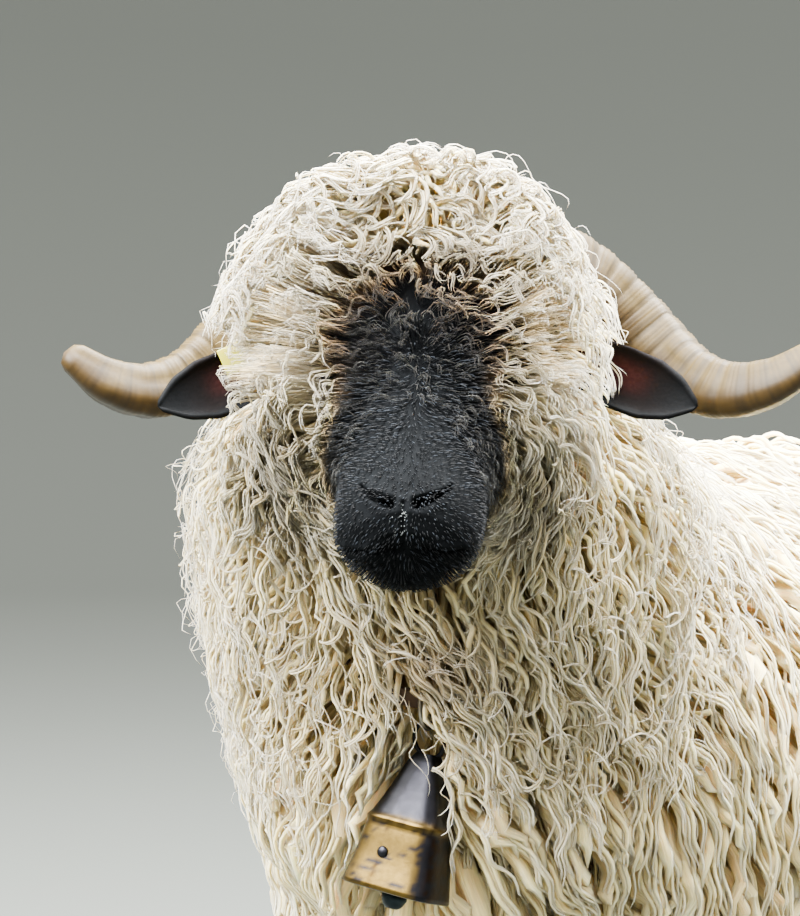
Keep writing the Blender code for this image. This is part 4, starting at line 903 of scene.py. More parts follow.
def trimmed(strands):
    """Cuts strands short where they would lie over an ear, a horn or the bell."""
    paths = strands["paths"]
    covers = near_bell(paths)
    for which, sign in SIDES:
        covers |= near_ear(paths, which, sign) | near_horn(paths, which, sign)
    last = paths.shape[1] - 1
    first = np.where(covers.any(axis=1), covers.argmax(axis=1), last + 1)
    reach = np.clip((first - 1) / last, 0, 1)
    kept = reach > 0.3
    strands = {key: value if key == "thick" else value[kept] for key, value in strands.items()}
    spots = np.linspace(0, 1, last + 1)[None, :] * reach[kept][:, None]
    strands["paths"] = along_guides(strands["paths"], spots)
    strands["ups"] = unit(along_guides(strands["ups"], spots))
    return strands


def ways_along(paths):
    return unit(np.gradient(paths, axis=1))


def curl(guides, ups, short, unwrapped, recipe):
    """The strands of each lock, crimped or curled in step with one another."""
    count, rings = recipe["strands"], recipe["rings"]
    which = np.repeat(np.arange(len(guides)), count)
    total = len(which)
    share = np.linspace(0, 1, rings)[None, :]
    spots = share * rng.uniform(0.72, 1.0, total)[:, None]
    paths = along_guides(guides[which], spots)
    tops = unit(along_guides(ups[which], spots))
    ways = ways_along(paths)
    sides = unit(np.cross(tops, ways))
    tops = np.cross(ways, sides)
    run = np.cumsum(np.linalg.norm(np.diff(paths, axis=1, prepend=paths[:, :1]), axis=2), axis=1)
    angle, reach = rng.uniform(0, 2 * math.pi, total), np.sqrt(rng.random(total)) * recipe["lock"]
    loose = 1 + (recipe["fan"] - 1) * share
    roots = guides[:, 0]
    pitch = (recipe["pitch"] * rng.uniform(0.88, 1.14, len(guides)))[which][:, None]
    hand = np.where(wander(roots, 0.05, 13) + 0.4 * rng.normal(size=len(guides)) > 0, 1, -1)
    hand = hand[which][:, None]
    phase = 2 * math.pi * wander(roots, 0.09, 12) + recipe["drift"] * rng.normal(size=len(guides))
    phase = phase[which] + rng.normal(0, recipe["jumble"], total)
    turn = 2 * math.pi * run / pitch * (1 + recipe["tight"] * share**2) + phase[:, None]
    size = recipe["curl"] * rng.uniform(0.7, 1.2, len(guides))[which][:, None] * rise(-0.1, 0.45, share)
    size = size * (short[which] ** 0.5)[:, None]
    across = (np.cos(angle) * reach)[:, None] * loose + size * np.cos(turn)
    above = (np.sin(angle) * reach)[:, None] * loose + size * hand * recipe["flat"] * np.sin(turn)
    ahead = size * recipe["loop"] * np.sin(turn)
    paths = paths + sides * across[..., None] + tops * above[..., None] + ways * ahead[..., None]
    half = recipe["half"] * (short[which] ** 0.6 * rng.uniform(0.7, 1.25, total))[:, None]
    halves = half * (0.72 + 0.38 * np.sin(math.pi * share**0.8)) * (1 - 0.55 * share**3)
    made = {"paths": paths, "ups": tops, "halves": halves, "unwrapped": unwrapped[which]}
    return {**made, "thick": recipe["thick"]}


def strand_faces(rings):
    """One strand's faces: a root, rings of three corners and a tip, with the corners' places."""
    faces, spots = [(2, 1, 0)], [((0, 2), (0, 1), (0, 0))]
    for k in range(rings - 1):
        for c in range(3):
            n = (c + 1) % 3
            faces.append((3 * k + c, 3 * k + n, 3 * k + 3 + n, 3 * k + 3 + c))
            spots.append(((k, c), (k, c + 1), (k + 1, c + 1), (k + 1, c)))
    for c in range(3):
        faces.append((3 * rings - 3 + c, 3 * rings - 3 + (c + 1) % 3, 3 * rings))
        spots.append(((rings - 1, c), (rings - 1, c + 1), (rings, c + 0.5)))
    return faces, spots


COAT_LIMIT = 190000  # triangles in one piece
PATCH = 0.003  # a strand's own patch on the skin's unwrap


def strand_mesh(name, strands, colors, material, slot):
    """Closed three-sided strands as joined meshes, split so that none has more than COAT_LIMIT triangles.
    """
    paths, ups, halves = strands["paths"], strands["ups"], strands["halves"]
    rings = paths.shape[1] - 1
    faces, spots = strand_faces(rings)
    per_strand = sum(len(face) - 2 for face in faces)
    pieces = math.ceil(len(paths) * per_strand / COAT_LIMIT)
    ways = ways_along(paths)
    sides = unit(np.cross(ups, ways))
    tops = np.cross(ways, sides)
    bends = np.radians((90, 210, 330))
    across = sides[:, :-1, None] * np.cos(bends)[None, None, :, None]
    above = tops[:, :-1, None] * np.sin(bends)[None, None, :, None] * strands["thick"]
    corners = paths[:, :-1, None] + (across + above) * halves[:, :-1, None, None]
    verts = np.concatenate([corners.reshape(len(paths), -1, 3), paths[:, -1:]], axis=1)
    shades = np.concatenate([np.repeat(colors[:, :-1], 3, axis=1), colors[:, -1:]], axis=1)
    loop_verts = np.concatenate([np.array(face) for face in faces])
    places = np.concatenate([np.array(spot, dtype=float) for spot in spots]) / (rings, 3)
    sizes = np.array([len(face) for face in faces])
    starts = np.concatenate([[0], np.cumsum(sizes)[:-1]])
    offsets = rng.uniform(0, 40, (len(paths), 2))
    order = rng.permutation(len(paths))
    for number, chosen in enumerate(np.array_split(order, pieces)):
        n = len(chosen)
        step, loops = verts.shape[1], len(loop_verts)
        mesh = bpy.data.meshes.new("%s_%d" % (name, number + 1))
        mesh.vertices.add(n * step)
        mesh.vertices.foreach_set("co", verts[chosen].astype(np.float32).ravel())
        mesh.loops.add(n * loops)
        index = loop_verts[None, :] + (np.arange(n) * step)[:, None]
        mesh.loops.foreach_set("vertex_index", index.astype(np.int32).ravel())
        mesh.polygons.add(n * len(faces))
        begin = starts[None, :] + (np.arange(n) * loops)[:, None]
        mesh.polygons.foreach_set("loop_start", begin.astype(np.int32).ravel())
        mesh.update(calc_edges=True)
        mesh.polygons.foreach_set("use_smooth", np.ones(n * len(faces), bool))
        own = places[None] + offsets[chosen][:, None]
        patch = strands["unwrapped"][chosen][:, None] + PATCH * (places[None] - 0.5)
        for layer_name, table in (("UVMap", own), ("OFBake", patch)):
            layer = mesh.uv_layers.new(name=layer_name)
            layer.data.foreach_set("uv", table.astype(np.float32).ravel())
        mesh.materials.append(material)
        piece = bpy.data.objects.new(mesh.name, mesh)
        bpy.context.scene.collection.objects.link(piece)
        paint(piece, shades[chosen].reshape(-1, 3))
        settle(piece, slot)


def strand_tones(strands, painted_hair_sheen=False):
    """Coat colours along every strand, a little lighter or darker from one to the next, with painted sheen
    as lighter bluish streaks on the hair.
    """
    paths = strands["paths"]
    share = np.broadcast_to(np.linspace(0, 1, paths.shape[1])[None, :], paths.shape[:2])
    jitter = np.broadcast_to(rng.normal(0, 1, len(paths))[:, None], paths.shape[:2])
    found = coat_tones(paths, share, np.clip(jitter, -2, 2))
    # Painted sheen: some hairs are lightened towards bluish grey, as highlights.
    if painted_hair_sheen:
        found = found + SHEEN_SLATE * (1.6 * rise(0.2, 1.8, jitter))[..., None]
    bright = np.clip(1 + 0.09 * rng.normal(size=len(paths)), 0.75, 1.2)
    return np.clip(found * bright[:, None, None], 0, 1)


# How each kind of wool grows, in metres and in shares of the coat's depth. "low" and "top" are the
# levels where a strand starts and runs, "climb" the share of its length in which it rises, "lock"
# the reach of the lock round its guide, and "half" a strand's half width.
BASE = {
    "depth": 0.080,
    "top": 0.96,
    "climb": 0.55,
    "strands": 1,
    "pitch": 0.025,
    "sway": 0.35,
    "stray": 0.10,
    "flat": 0.6,
    "thick": 0.6,
    "fan": 0.8,
    "jumble": 0.25,
    "drift": 0.7,
    "tight": 0.0,
    "muzzle": 1.0,
    "loop": 0.0,
}
OWN = ("spacing", "length", "low", "rings", "half", "lock", "curl")
WOOL = {
    "under": ((0.0262, 0.120, 0.00, 7, 0.0100, 0.0040, 0.0040), {"top": 0.84}),
    "nap": (
        (0.0062, 0.050, 0.25, 7, 0.0036, 0.0020, 0.0050),
        {"top": 0.72, "climb": 0.2, "pitch": 0.022, "stray": 1.3},
    ),
    "felt": ((0.0134, 0.075, 0.00, 8, 0.0042, 0.0040, 0.0040), {"top": 0.82, "climb": 0.6, "pitch": 0.030}),
    "brow": (
        (0.0084, 0.062, 0.05, 10, 0.0009, 0.0028, 0.0066),
        {"top": 0.92, "climb": 0.35, "strands": 4, "pitch": 0.028, "stray": 0.45},
    ),
    "crown": (
        (0.0072, 0.100, 0.60, 22, 0.0010, 0.0022, 0.0076),
        {
            "climb": 0.40,
            "strands": 6,
            "pitch": 0.036,
            "loop": 0.85,
            "stray": 0.75,
            "drift": 1.2,
            "tight": 0.25,
            "jumble": 0.16,
        },
    ),
    "cheek": ((0.0085, 0.105, 0.20, 14, 0.0010, 0.0032, 0.0046), {"strands": 6, "pitch": 0.036}),
    "ringlets": (
        (0.0230, 0.080, 0.80, 19, 0.0009, 0.0010, 0.0070),
        {
            "top": 1.04,
            "strands": 2,
            "pitch": 0.034,
            "loop": 1.0,
            "flat": 0.3,
            "fan": 1.5,
            "stray": 0.8,
            "jumble": 0.10,
            "drift": 2.0,
        },
    ),
    "bib": (
        (0.0124, 0.080, 0.00, 9, 0.0015, 0.0040, 0.0030),
        {"top": 0.36, "climb": 0.3, "strands": 3, "pitch": 0.030},
    ),
    "neck": (
        (0.0246, 0.140, 0.25, 17, 0.0018, 0.0060, 0.0028),
        {"strands": 4, "pitch": 0.038, "stray": 0.20},
    ),
    "flank": (
        (0.0268, 0.175, 0.34, 17, 0.0026, 0.0056, 0.0028),
        {"strands": 3, "pitch": 0.046, "stray": 0.05, "sway": 0.20},
    ),
    "body": ((0.0270, 0.170, 0.32, 17, 0.0060, 0.0030, 0.0044), {"pitch": 0.042}),
    "leg": (
        (0.0200, 0.060, 0.10, 8, 0.0030, 0.0040, 0.0026),
        {"depth": 0.030, "strands": 2, "pitch": 0.026},
    ),
    "tail": (
        (0.0180, 0.090, 0.10, 11, 0.0026, 0.0045, 0.0030),
        {"depth": 0.034, "strands": 2, "pitch": 0.028},
    ),
    "wisps": (
        (0.0230, 0.090, 0.80, 14, 0.0004, 0.0060, 0.0060),
        {"top": 1.06, "pitch": 0.034, "loop": 0.8, "stray": 0.6, "flat": 1.0, "thick": 1.0},
    ),
}
HAIR = {
    "face": ((0.0026, 0.0080, 0.0, 4, 0.00038, 0.0, 0.0), {"depth": 0.002, "top": 0.95, "muzzle": 0.34}),
    "foot": ((0.0075, 0.0120, 0.0, 4, 0.0008, 0.0, 0.0), {"depth": 0.0015, "top": 1.2}),
}
WOOL_START = 0.006
CANDIDATES = 420000
WOOL_SLOTS = {"crown": "head_wool", "nap": "head_wool", "cheek": "head_wool", "leg": "leg_wool"}


def plant(skin):
    """Roots for every kind of wool and hair, by the part of the body that they grow on."""
    places, unwrapped = scatter(skin, CANDIDATES)
    distances = part_distances(places)
    part = distances.argmin(axis=0)
    depth = sample(places)[:, 4]
    woolly = depth > WOOL_START
    s, h, f = frontal(places)
    along, _, above = head_local(places)
    brow = (part == 2) & (f > 0.03) & (face_ring(s, h) < 0.98) & (h < 0.050)
    crown = (part == 2) & (h > 0.020) & (along < 0.075) & ~brow
    x, y, z = places.T
    front = (part == 1) | (part == 2)
    body = (part == 0) | ((part == 3) & (z > 0.36)) | ((part == 4) & (y < 0.40))
    shown = (y < 0.10) & (x > -0.08) | (y < -0.25)
    under_chin = (above < -0.028) & (along < 0.150)
    grown = {
        "under": (depth > 0.030) & (part == 0),
        "nap": woolly & crown,
        "felt": (depth > 0.020) & front & ~brow & ((along < 0.10) | (z < 0.84)),
        "bib": (y < -0.36) & (np.abs(x - 0.04) < 0.09) & (np.abs(z - 0.48) < 0.13),
        "ringlets": (depth > 0.030) & front & ~brow & (y < -0.38),
        "crown": woolly & crown,
        "brow": (depth > 0.004) & brow,
        "cheek": woolly & (part == 2) & ~crown & ~brow,
        "neck": woolly & (part == 1),
        "flank": woolly & body & shown,
        "body": woolly & body & ~shown,
        "leg": woolly & (part == 3) & ~body,
        "tail": woolly & (part == 4) & ~body,
        "wisps": woolly & front,
        "face": (depth < 0.020) & (part == 2) & (face_line_distance(places) > 0.0020) & ~under_chin,
        "foot": (depth < 0.008) & (part > 2),
    }
    return places, unwrapped, grown


def make_coat(skin, wool, hair):
    """Grows every kind of wool and hair in turn, and trims it clear of ears, horns and bell."""
    places, unwrapped, grown = plant(skin)
    for kinds, material, prefix in ((WOOL, wool, "wool_"), (HAIR, hair, "hair_")):
        for kind, (own, rest) in kinds.items():
            recipe = {**BASE, **dict(zip(OWN, own)), **rest}
            roots = np.flatnonzero(grown[kind])
            roots = roots[spread(places[roots], recipe["spacing"])]
            strands = trimmed(curl(*march(places[roots], recipe), unwrapped[roots], recipe))
            slot = "black_coat" if kinds is HAIR else WOOL_SLOTS.get(kind, "fleece")
            strand_mesh(prefix + kind, strands, strand_tones(strands, kinds is HAIR), material, slot)


def face_outward(piece, merge=0.0):
    """Turns all faces outward, once points closer than the given distance are merged."""
    active(piece)
    bpy.ops.object.mode_set(mode="EDIT")
    bpy.ops.mesh.select_all(action="SELECT")
    if merge:
        bpy.ops.mesh.remove_doubles(threshold=merge)
    bpy.ops.mesh.normals_make_consistent(inside=False)
    bpy.ops.object.mode_set(mode="OBJECT")


def finished(piece, material):
    piece.data.shade_smooth()
    piece.data.materials.append(material)
    return piece


def named(piece, name):
    piece.name = name
    piece.data.name = name
    return piece


def lofted(name, rings, material):
    """Extrudes a circle through rings of points; rings drawn together to a point close the ends."""
    rings = np.array(rings, dtype=float)
    count, sides = rings.shape[:2]
    bpy.ops.mesh.primitive_circle_add(vertices=sides, radius=1.0, location=(0, 0, 0))
    piece = named(bpy.context.object, name)
    bpy.context.tool_settings.mesh_select_mode = (True, False, False)
    bpy.ops.object.mode_set(mode="EDIT")
    bpy.ops.mesh.select_all(action="SELECT")
    for _ in range(count - 1):
        bpy.ops.mesh.extrude_region_move(TRANSFORM_OT_translate={"value": (0, 0, 1)})
    bpy.ops.object.mode_set(mode="OBJECT")
    raw = get_points(piece)
    row = np.rint(raw[:, 2]).astype(int)
    turn = np.rint(np.arctan2(raw[:, 1], raw[:, 0]) / (2 * math.pi / sides)).astype(int) % sides
    set_points(piece, rings[row, turn])
    face_outward(piece, 1e-6)
    return finished(piece, material)


def banded(name, centre_at, wide_at, thick_at, material, major=72, minor=12, power=1.0):
    """A torus laid along a closed line: its middle, its width and its thickness at each turn."""
    bpy.ops.mesh.primitive_torus_add(
        major_segments=major, minor_segments=minor, major_radius=1.0, minor_radius=0.25, location=(0, 0, 0)
    )
    piece = named(bpy.context.object, name)
    raw = get_points(piece)
    turn = np.arctan2(raw[:, 1], raw[:, 0])
    spot = np.stack([np.hypot(raw[:, 0], raw[:, 1]) - 1.0, raw[:, 2]], axis=1) / 0.25
    spot = np.sign(spot) * np.abs(spot) ** power
    set_points(piece, centre_at(turn) + thick_at(turn) * spot[:, :1] + wide_at(turn) * spot[:, 1:])
    face_outward(piece)
    return finished(piece, material)


def tinted_material(name, base, roughness, scale, spread, bump, **sockets):
    """A material whose own tints are on the piece, mottled at a real scale and finely rough."""
    made, tree, shader = new_material(name, base, roughness, **sockets)
    place = add_node(tree, "ShaderNodeTexCoord")
    pattern = {"Scale": scale, "Detail": 3.0}
    noise = add_node(tree, "ShaderNodeTexNoise", pattern, {"Vector": place.outputs["Object"]})
    mottle(tree, shader, "tint", noise, noise, (1 - spread, 1 + spread), (0.4, bump))
    return made


# The horns: a spiral out of the poll, back, down and forwards, with yearly rings.
HORN_PATH = (  # out, behind and above the skull, radius
    (0.034, 0.006, 0.030, 0.0225),
    (0.052, 0.030, 0.050, 0.0240),
    (0.078, 0.060, 0.056, 0.0245),
    (0.108, 0.080, 0.040, 0.0240),
    (0.136, 0.083, 0.012, 0.0235),
    (0.158, 0.070, -0.014, 0.0230),
    (0.178, 0.046, -0.036, 0.0218),
    (0.200, 0.022, -0.044, 0.0198),
    (0.225, 0.004, -0.037, 0.0165),
    (0.247, -0.004, -0.020, 0.0115),
)
HORN_REACH = {"left": 1.10, "right": 1.03}
HORN_RINGS, HORN_SIDES = 190, 30
HORN_CLEAR = {"left": 0.46, "right": 0.50}
YEAR_RING, FINE_RING = 0.0185, 0.0042  # metres along the horn
HORN_PALE, HORN_TAN, HORN_DARK, HORN_KEEL = tone("3E3112"), tone("2C200B"), tone("151009"), tone("0F0E0B")


def horn_spine(which, sign, count):
    """Points of a horn's middle line, with its radius."""
    reach = HORN_REACH[which]
    knots = [(out * (1 + (reach - 1) * out / 0.25), back, above, r) for out, back, above, r in HORN_PATH]
    path = smooth_path(knots, count)
    places = np.array([by_head(sign * p[0], p[1], p[2]) for p in path])
    return places, path[:, 3]


def horn_growth(run):
    """The yearly bands, from 0 to 1, and the fine rings, from -1 to 1, at lengths along a horn."""
    year = 0.5 + 0.5 * np.cos(2 * math.pi * run / YEAR_RING + 0.7 * np.sin(run / 0.019))
    return year, np.sin(2 * math.pi * run / FINE_RING + 1.3 * np.sin(run / 0.011))


def make_horn(which, sign, material):
    """A ribbed spiral with a dark keel, finely ringed across."""
    places, radii = horn_spine(which, sign, HORN_RINGS)
    ways = unit(np.gradient(places, axis=0))
    across = unit(np.cross(ways, np.array(UP)))
    top = np.cross(across, ways)
    run = np.concatenate([[0], np.cumsum(np.linalg.norm(np.diff(places, axis=0), axis=1))])
    turn = np.linspace(0, 2 * math.pi, HORN_SIDES, endpoint=False)
    ageing = run / run[-1]
    year, fine = horn_growth(run)
    worn = rise(1.0, 0.75, ageing)
    relief = (0.0009 * (0.5 - year**4) + 0.00045 * fine) * worn
    keel = 1 + 0.15 * np.cos(3 * turn)[None, :] + 0.05 * np.cos(turn - 2.2)[None, :]
    wobble = 0.0003 * np.sin(7 * turn)[None, :] * np.sin(run / 0.013)[:, None]
    size = (radii + relief)[:, None] * keel + wobble
    ring = across[:, None] * (np.sin(turn) * 0.92)[None, :, None]
    ring = ring + top[:, None] * np.cos(turn)[None, :, None]
    rings = places[:, None] + ring * size[..., None]
    end = places[-1] + ways[-1] * radii[-1] * 0.75
    dome = [places[-1] + ways[-1] * radii[-1] * 0.5 + (rings[-1] - places[-1]) * 0.7]
    first, last = (np.repeat(spot[None], HORN_SIDES, axis=0) for spot in (places[0], end))
    closed = [first, *rings, *dome, last]
    piece = lofted("horn_look_" + which, closed, material)
    points = get_points(piece)
    _, share = curve_distance(points, places[::6])
    spot = share * run[-1]
    index = np.clip((share * (HORN_RINGS - 1)).astype(int), 0, HORN_RINGS - 1)
    offset = unit(points - places[index])
    upper = (offset * top[index]).sum(axis=1)
    outer = (offset * across[index]).sum(axis=1) * sign
    bands, waves = horn_growth(spot)
    thin = 0.5 + 0.5 * waves
    # Painted light: the horn is paler on its upper side and tan beneath.
    tint = mix(HORN_TAN, HORN_PALE, rise(-0.2, 0.9, upper + 0.3 * wander(points, 0.03, 8))[:, None])
    tint = mix(tint, HORN_DARK, (0.45 * bands**5 + 0.40 * thin**2)[:, None] * 0.8)
    keeled = rise(0.72, 0.95, -upper * 0.75 - outer * 0.35 + 0.08 * wander(points, 0.02, 9))
    tint = mix(tint, HORN_KEEL, 0.75 * keeled[:, None])
    paint(piece, tint, "tint")
    return settle(piece, "horn", "horn_" + which)


# The ears: leaf-shaped cups, from the root beside the poll to the tip.
EAR_ROOT, EAR_TIP = (0.062, 0.000, 0.004), (0.190, -0.022, -0.054)
EAR_THICKNESS = 0.0034
EAR_CLEAR = {"left": 0.62, "right": 0.55}
EAR_PROFILE = (  # share of the length, half width, depth of the back, depth of the cup
    (0.00, 0.0130, 0.0110, -0.0110),
    (0.16, 0.0150, 0.0120, -0.0090),
    (0.30, 0.0180, 0.0130, 0.0000),
    (0.42, 0.0215, 0.0140, 0.0095),
    (0.58, 0.0240, 0.0125, 0.0090),
    (0.74, 0.0225, 0.0100, 0.0066),
    (0.88, 0.0155, 0.0070, 0.0038),
    (0.97, 0.0060, 0.0036, 0.0008),
)
EAR_PINK, EAR_DUSK = tone("2E1615"), tone("0C0909")


def ear_frame(sign):
    root = by_head(sign * EAR_ROOT[0], EAR_ROOT[1], EAR_ROOT[2])
    tip = by_head(sign * EAR_TIP[0], EAR_TIP[1], EAR_TIP[2])
    along = (tip - root).normalized()
    face = (LEVEL * 0.90 - UP * 0.16 + LEFT * sign * 0.35).normalized()
    across = along.cross(face).normalized() * sign
    return root, tip, across, across.cross(along).normalized() * sign


def make_ear(which, sign, material):
    """A cup of gristle, black and haired outside, with bare rosy skin in its hollow."""
    root, tip, across, face = (np.array(v) for v in ear_frame(sign))
    table = np.array(EAR_PROFILE)
    rows, half_sides = 34, 16
    rings = [np.repeat(root[None] - (tip - root) * 0.02, 2 * half_sides, axis=0)]
    for share in np.linspace(0, 0.985, rows):
        half, back, cup = (np.interp(share, table[:, 0], table[:, i]) for i in (1, 2, 3))
        if share > 0.97:
            half, back, cup = half * 0.7, back * 0.7, cup * 0.5
        bend = 0.010 * math.sin(math.pi * share) ** 2
        centre = root + (tip - root) * share - face * bend + across * 0.004 * math.sin(3 * share)
        wave = 0.0008 * math.sin(9 * share)
        inner = half - EAR_THICKNESS if cup > 0 else half * 0.8
        ring = []
        for step in range(half_sides):
            turn = math.pi * (step / half_sides - 0.5)
            ring.append(centre + across * (half + wave) * math.sin(turn) - face * back * math.cos(turn))
        for step in range(half_sides):
            turn = math.pi * (0.5 - step / half_sides)
            hollow = cup if cup < 0 else max(cup - 0.001, 0.0003)
            ring.append(centre + across * inner * math.sin(turn) - face * hollow * math.cos(turn))
        rings.append(np.array(ring))
    rings.append(np.repeat(tip[None], 2 * half_sides, axis=0))
    piece = lofted("ear_look_" + which, rings, material)
    points = get_points(piece)
    share = (points - root) @ (tip - root) / ((tip - root) @ (tip - root))
    centre = root + (tip - root) * share[:, None]
    aside = np.abs((points - centre) @ across)
    half = np.interp(share, table[:, 0], table[:, 1])
    back = np.interp(share, table[:, 0], table[:, 2])
    bend = 0.010 * np.sin(math.pi * share) ** 2
    depth = (centre - face * bend[:, None] - points) @ face
    wall = back * np.sqrt(np.clip(1 - (aside / half) ** 2, 0.05, 1))
    inside = rise(0.92, 0.80, aside / half + 0.6 * rise(0.75, 1.0, depth / wall))
    inside = inside * rise(0.20, 0.38, share) * rise(0.90, 0.70, share)
    rosy = rise(0.65, 0.1, aside / half) * rise(0.78, 0.58, share)
    pink = mix(EAR_DUSK, EAR_PINK, rosy[:, None])
    paint(piece, mix(BLACK, pink, inside[:, None]), "tint")
    return settle(piece, "black_coat", "ear_" + which)


SCLERA, AMBER, BROWN_RAY, PUPIL = tone("2A1C14"), tone("A9742A"), tone("6E4516"), tone("050505")


def eye_material():
    """A sheep's eye: amber iris with a level slit pupil under a clear wet cornea."""
    cornea = {"Coat_Weight": 1.0, "Coat_Roughness": 0.02, "Coat_IOR": 1.38}
    made, tree, shader = new_material("wet_eye", "3A2A18", 0.25, Specular_IOR_Level=0.5, **cornea)
    hue = add_node(tree, "ShaderNodeAttribute", {"attribute_name": "tint"})
    tree.links.new(hue.outputs["Color"], shader.inputs["Base Color"])
    return made


def make_eye(which, sign, material):
    """A ball with a bulging cornea, painted from its own axes."""
    out = np.array((LEFT * sign * 0.96 + NOSE * 0.20 + CROWN * 0.18).normalized())
    ahead = unit(np.array(NOSE) - out * (np.array(NOSE) @ out))
    above = np.cross(out, ahead) * -sign
    bpy.ops.mesh.primitive_uv_sphere_add(segments=64, ring_count=40, radius=EYE_RADIUS, location=(0, 0, 0))
    piece = named(bpy.context.object, "eye_look_" + which)
    raw = get_points(piece) / EYE_RADIUS
    wide = np.hypot(raw[:, 0], raw[:, 1])
    bulge = 1 + 0.05 * rise(0.62, 0.0, wide) * (raw[:, 2] > 0)
    iris = rise(0.66, 0.60, wide)
    pupil = rise(1.08, 0.92, np.hypot(raw[:, 0] / 0.42, raw[:, 1] / 0.14))
    rays = 0.5 + 0.5 * np.sin(40 * np.arctan2(raw[:, 1], raw[:, 0]))
    tint = mix(SCLERA, mix(AMBER, BROWN_RAY, rays[:, None]), iris[:, None])
    tint = mix(tint, PUPIL, pupil[:, None])
    back = (raw[:, 2] < 0)[:, None]
    placed = (raw[:, :1] * ahead + raw[:, 1:2] * above + raw[:, 2:] * out) * bulge[:, None] * EYE_RADIUS
    set_points(piece, placed + np.array(eye_centre(sign)))
    face_outward(piece)
    finished(piece, material)
    paint(piece, np.where(back, SCLERA, tint), "tint")
    return settle(piece, "eye", "eye_" + which)


CLAW_LENGTH, CLAW_WIDTH, CLAW_HEIGHT, CLAW_SPREAD = 0.060, 0.0225, 0.036, 0.0128
CLAW_HORN, CLAW_WORN = tone("1C1814"), tone("3A3128")


def make_claw(name, foot, side, material):
    """One half of a cloven hoof: a worn flat sole, a ribbed sloping wall and a round toe."""
    rings, sides = [], 36
    shares = (0.0, 0.0, 0.0, 0.03, 0.08, 0.2, 0.32, 0.45, 0.58, 0.70, 0.82, 0.92, 1.0, 1.0, 1.0)
    sizes = (0.0, 0.6, 0.94, 0.985, 1.0, 1.0, 1.0, 1.0, 1.0, 1.0, 1.0, 0.995, 0.96, 0.6, 0.0)
    for number, (share, size) in enumerate(zip(shares, sizes)):
        length = CLAW_LENGTH * (1 - 0.26 * share) * size
        width = CLAW_WIDTH * (1 - 0.10 * share) * size
        lift = CLAW_HEIGHT * share
        groove = 0.0003 * (1 if number % 2 else -1) if 4 < number < 12 else 0.0
        middle = np.array(foot) + np.array((side * CLAW_SPREAD, 0.012 * share - 0.010, lift))
        turn = np.linspace(0, 2 * math.pi, sides, endpoint=False)
        across, ahead = np.sin(turn), np.cos(turn)
        inner = np.where(across * side < 0, 0.80, 1.0)
        front = np.maximum(ahead, 0.0)
        x = across * width / 2 * inner * (1 - 0.30 * front) - side * 0.0035 * front + groove * across
        y = -ahead * (length / 2 + groove)
        z = 0.004 * share * (1 - share) * ahead
        rings.append(middle + np.stack([x, y, z], axis=1))
    piece = lofted(name, rings, material)
    points = get_points(piece)
    worn = rise(0.010, 0.0, points[:, 2])[:, None]
    paint(piece, mix(CLAW_HORN, CLAW_WORN, 0.7 * worn), "tint")
    return piece


def make_feet(material):
    for which, sign in SIDES:
        for place, leg in (("front", FRONT_LEG), ("hind", HIND_LEG)):
            foot = (sign * leg[0][1], leg[0][2] - 0.004, 0.0)
            for word, side in (("outer", sign), ("inner", -sign)):
                node = "%s_%s_claw_%s" % (place, which, word)
                settle(make_claw("look_" + node, foot, side, material), "hoof", node)


# The bell, and the strap and rings that it hangs from.
STRAP_FRONT, STRAP_NAPE = Vector((0.039, -0.496, 0.616)), Vector((-0.012, -0.300, 0.801))
STRAP_HALF_WIDTH, STRAP_HALF_THICKNESS, NECK_HALF = 0.010, 0.002, 0.116
WIRE = 0.0017
BELL_TOP = Vector((0.039, -0.496, 0.577))
BELL_YAW, BELL_TILT, BELL_ROLL = math.radians(-3), math.radians(14), math.radians(8)
BELL_WALL = 0.0028
BELL_SQUARENESS = 4.0
BELL_PROFILE = (  # below the top, half width, half depth
    (0.000, 0.0080, 0.0070),
    (0.006, 0.0115, 0.0095),
    (0.028, 0.0205, 0.0152),
    (0.047, 0.0278, 0.0208),
    (0.051, 0.0302, 0.0232),
    (0.055, 0.0293, 0.0224),
    (0.078, 0.0330, 0.0252),
    (0.100, 0.0362, 0.0277),
)
CLAPPER_LENGTH = 0.112
CLAPPER_PROFILE = (  # share of the length, radius
    (0.00, 0.0024),
    (0.45, 0.0022),
    (0.76, 0.0026),
    (0.82, 0.0048),
    (0.87, 0.0080),
    (0.93, 0.0095),
    (0.98, 0.0070),
    (1.00, 0.0040),
)
BELL_SIDES = 64
SHOULDER_SEAM, SEAM_BEAD = 0.0510, 0.0042
RIVET_RADIUS, RIVET_DOWN, RIVET_ASIDE, RIVET_AHEAD = 0.0042, 0.074, -0.004, 0.0248
BAIL_RADIUS, BAIL_RISE = 0.0125, 0.010
RING_LONG, RING_TALL = 0.0145, 0.0165
STEEL, BRASS, RUST = tone("19191C"), tone("4B3C1B"), tone("21150A")
BRAZE, SHADE = tone("29200F"), tone("0A0A09")


def bell_axes():
    """Across, to the front and down the bell, turned and tilted as it hangs on the fleece."""
    turn = Matrix.Rotation(BELL_YAW, 3, "Z") @ Matrix.Rotation(-BELL_TILT, 3, "X")
    turn = turn @ Matrix.Rotation(BELL_ROLL, 3, "Y")
    return turn @ Vector((1, 0, 0)), turn @ Vector((0, -1, 0)), turn @ Vector((0, 0, -1))


def bell_ring(down, wide, deep):
    across, front, below = (np.array(v) for v in bell_axes())
    turn = 2 * math.pi * np.arange(BELL_SIDES) / BELL_SIDES
    a, b = np.sin(turn), np.cos(turn)
    squared = (np.abs(a) ** BELL_SQUARENESS + np.abs(b) ** BELL_SQUARENESS) ** (-1 / BELL_SQUARENESS)
    spots = np.outer(wide * a * squared, across) + np.outer(deep * b * squared, front)
    return np.array(BELL_TOP) + below * down + spots


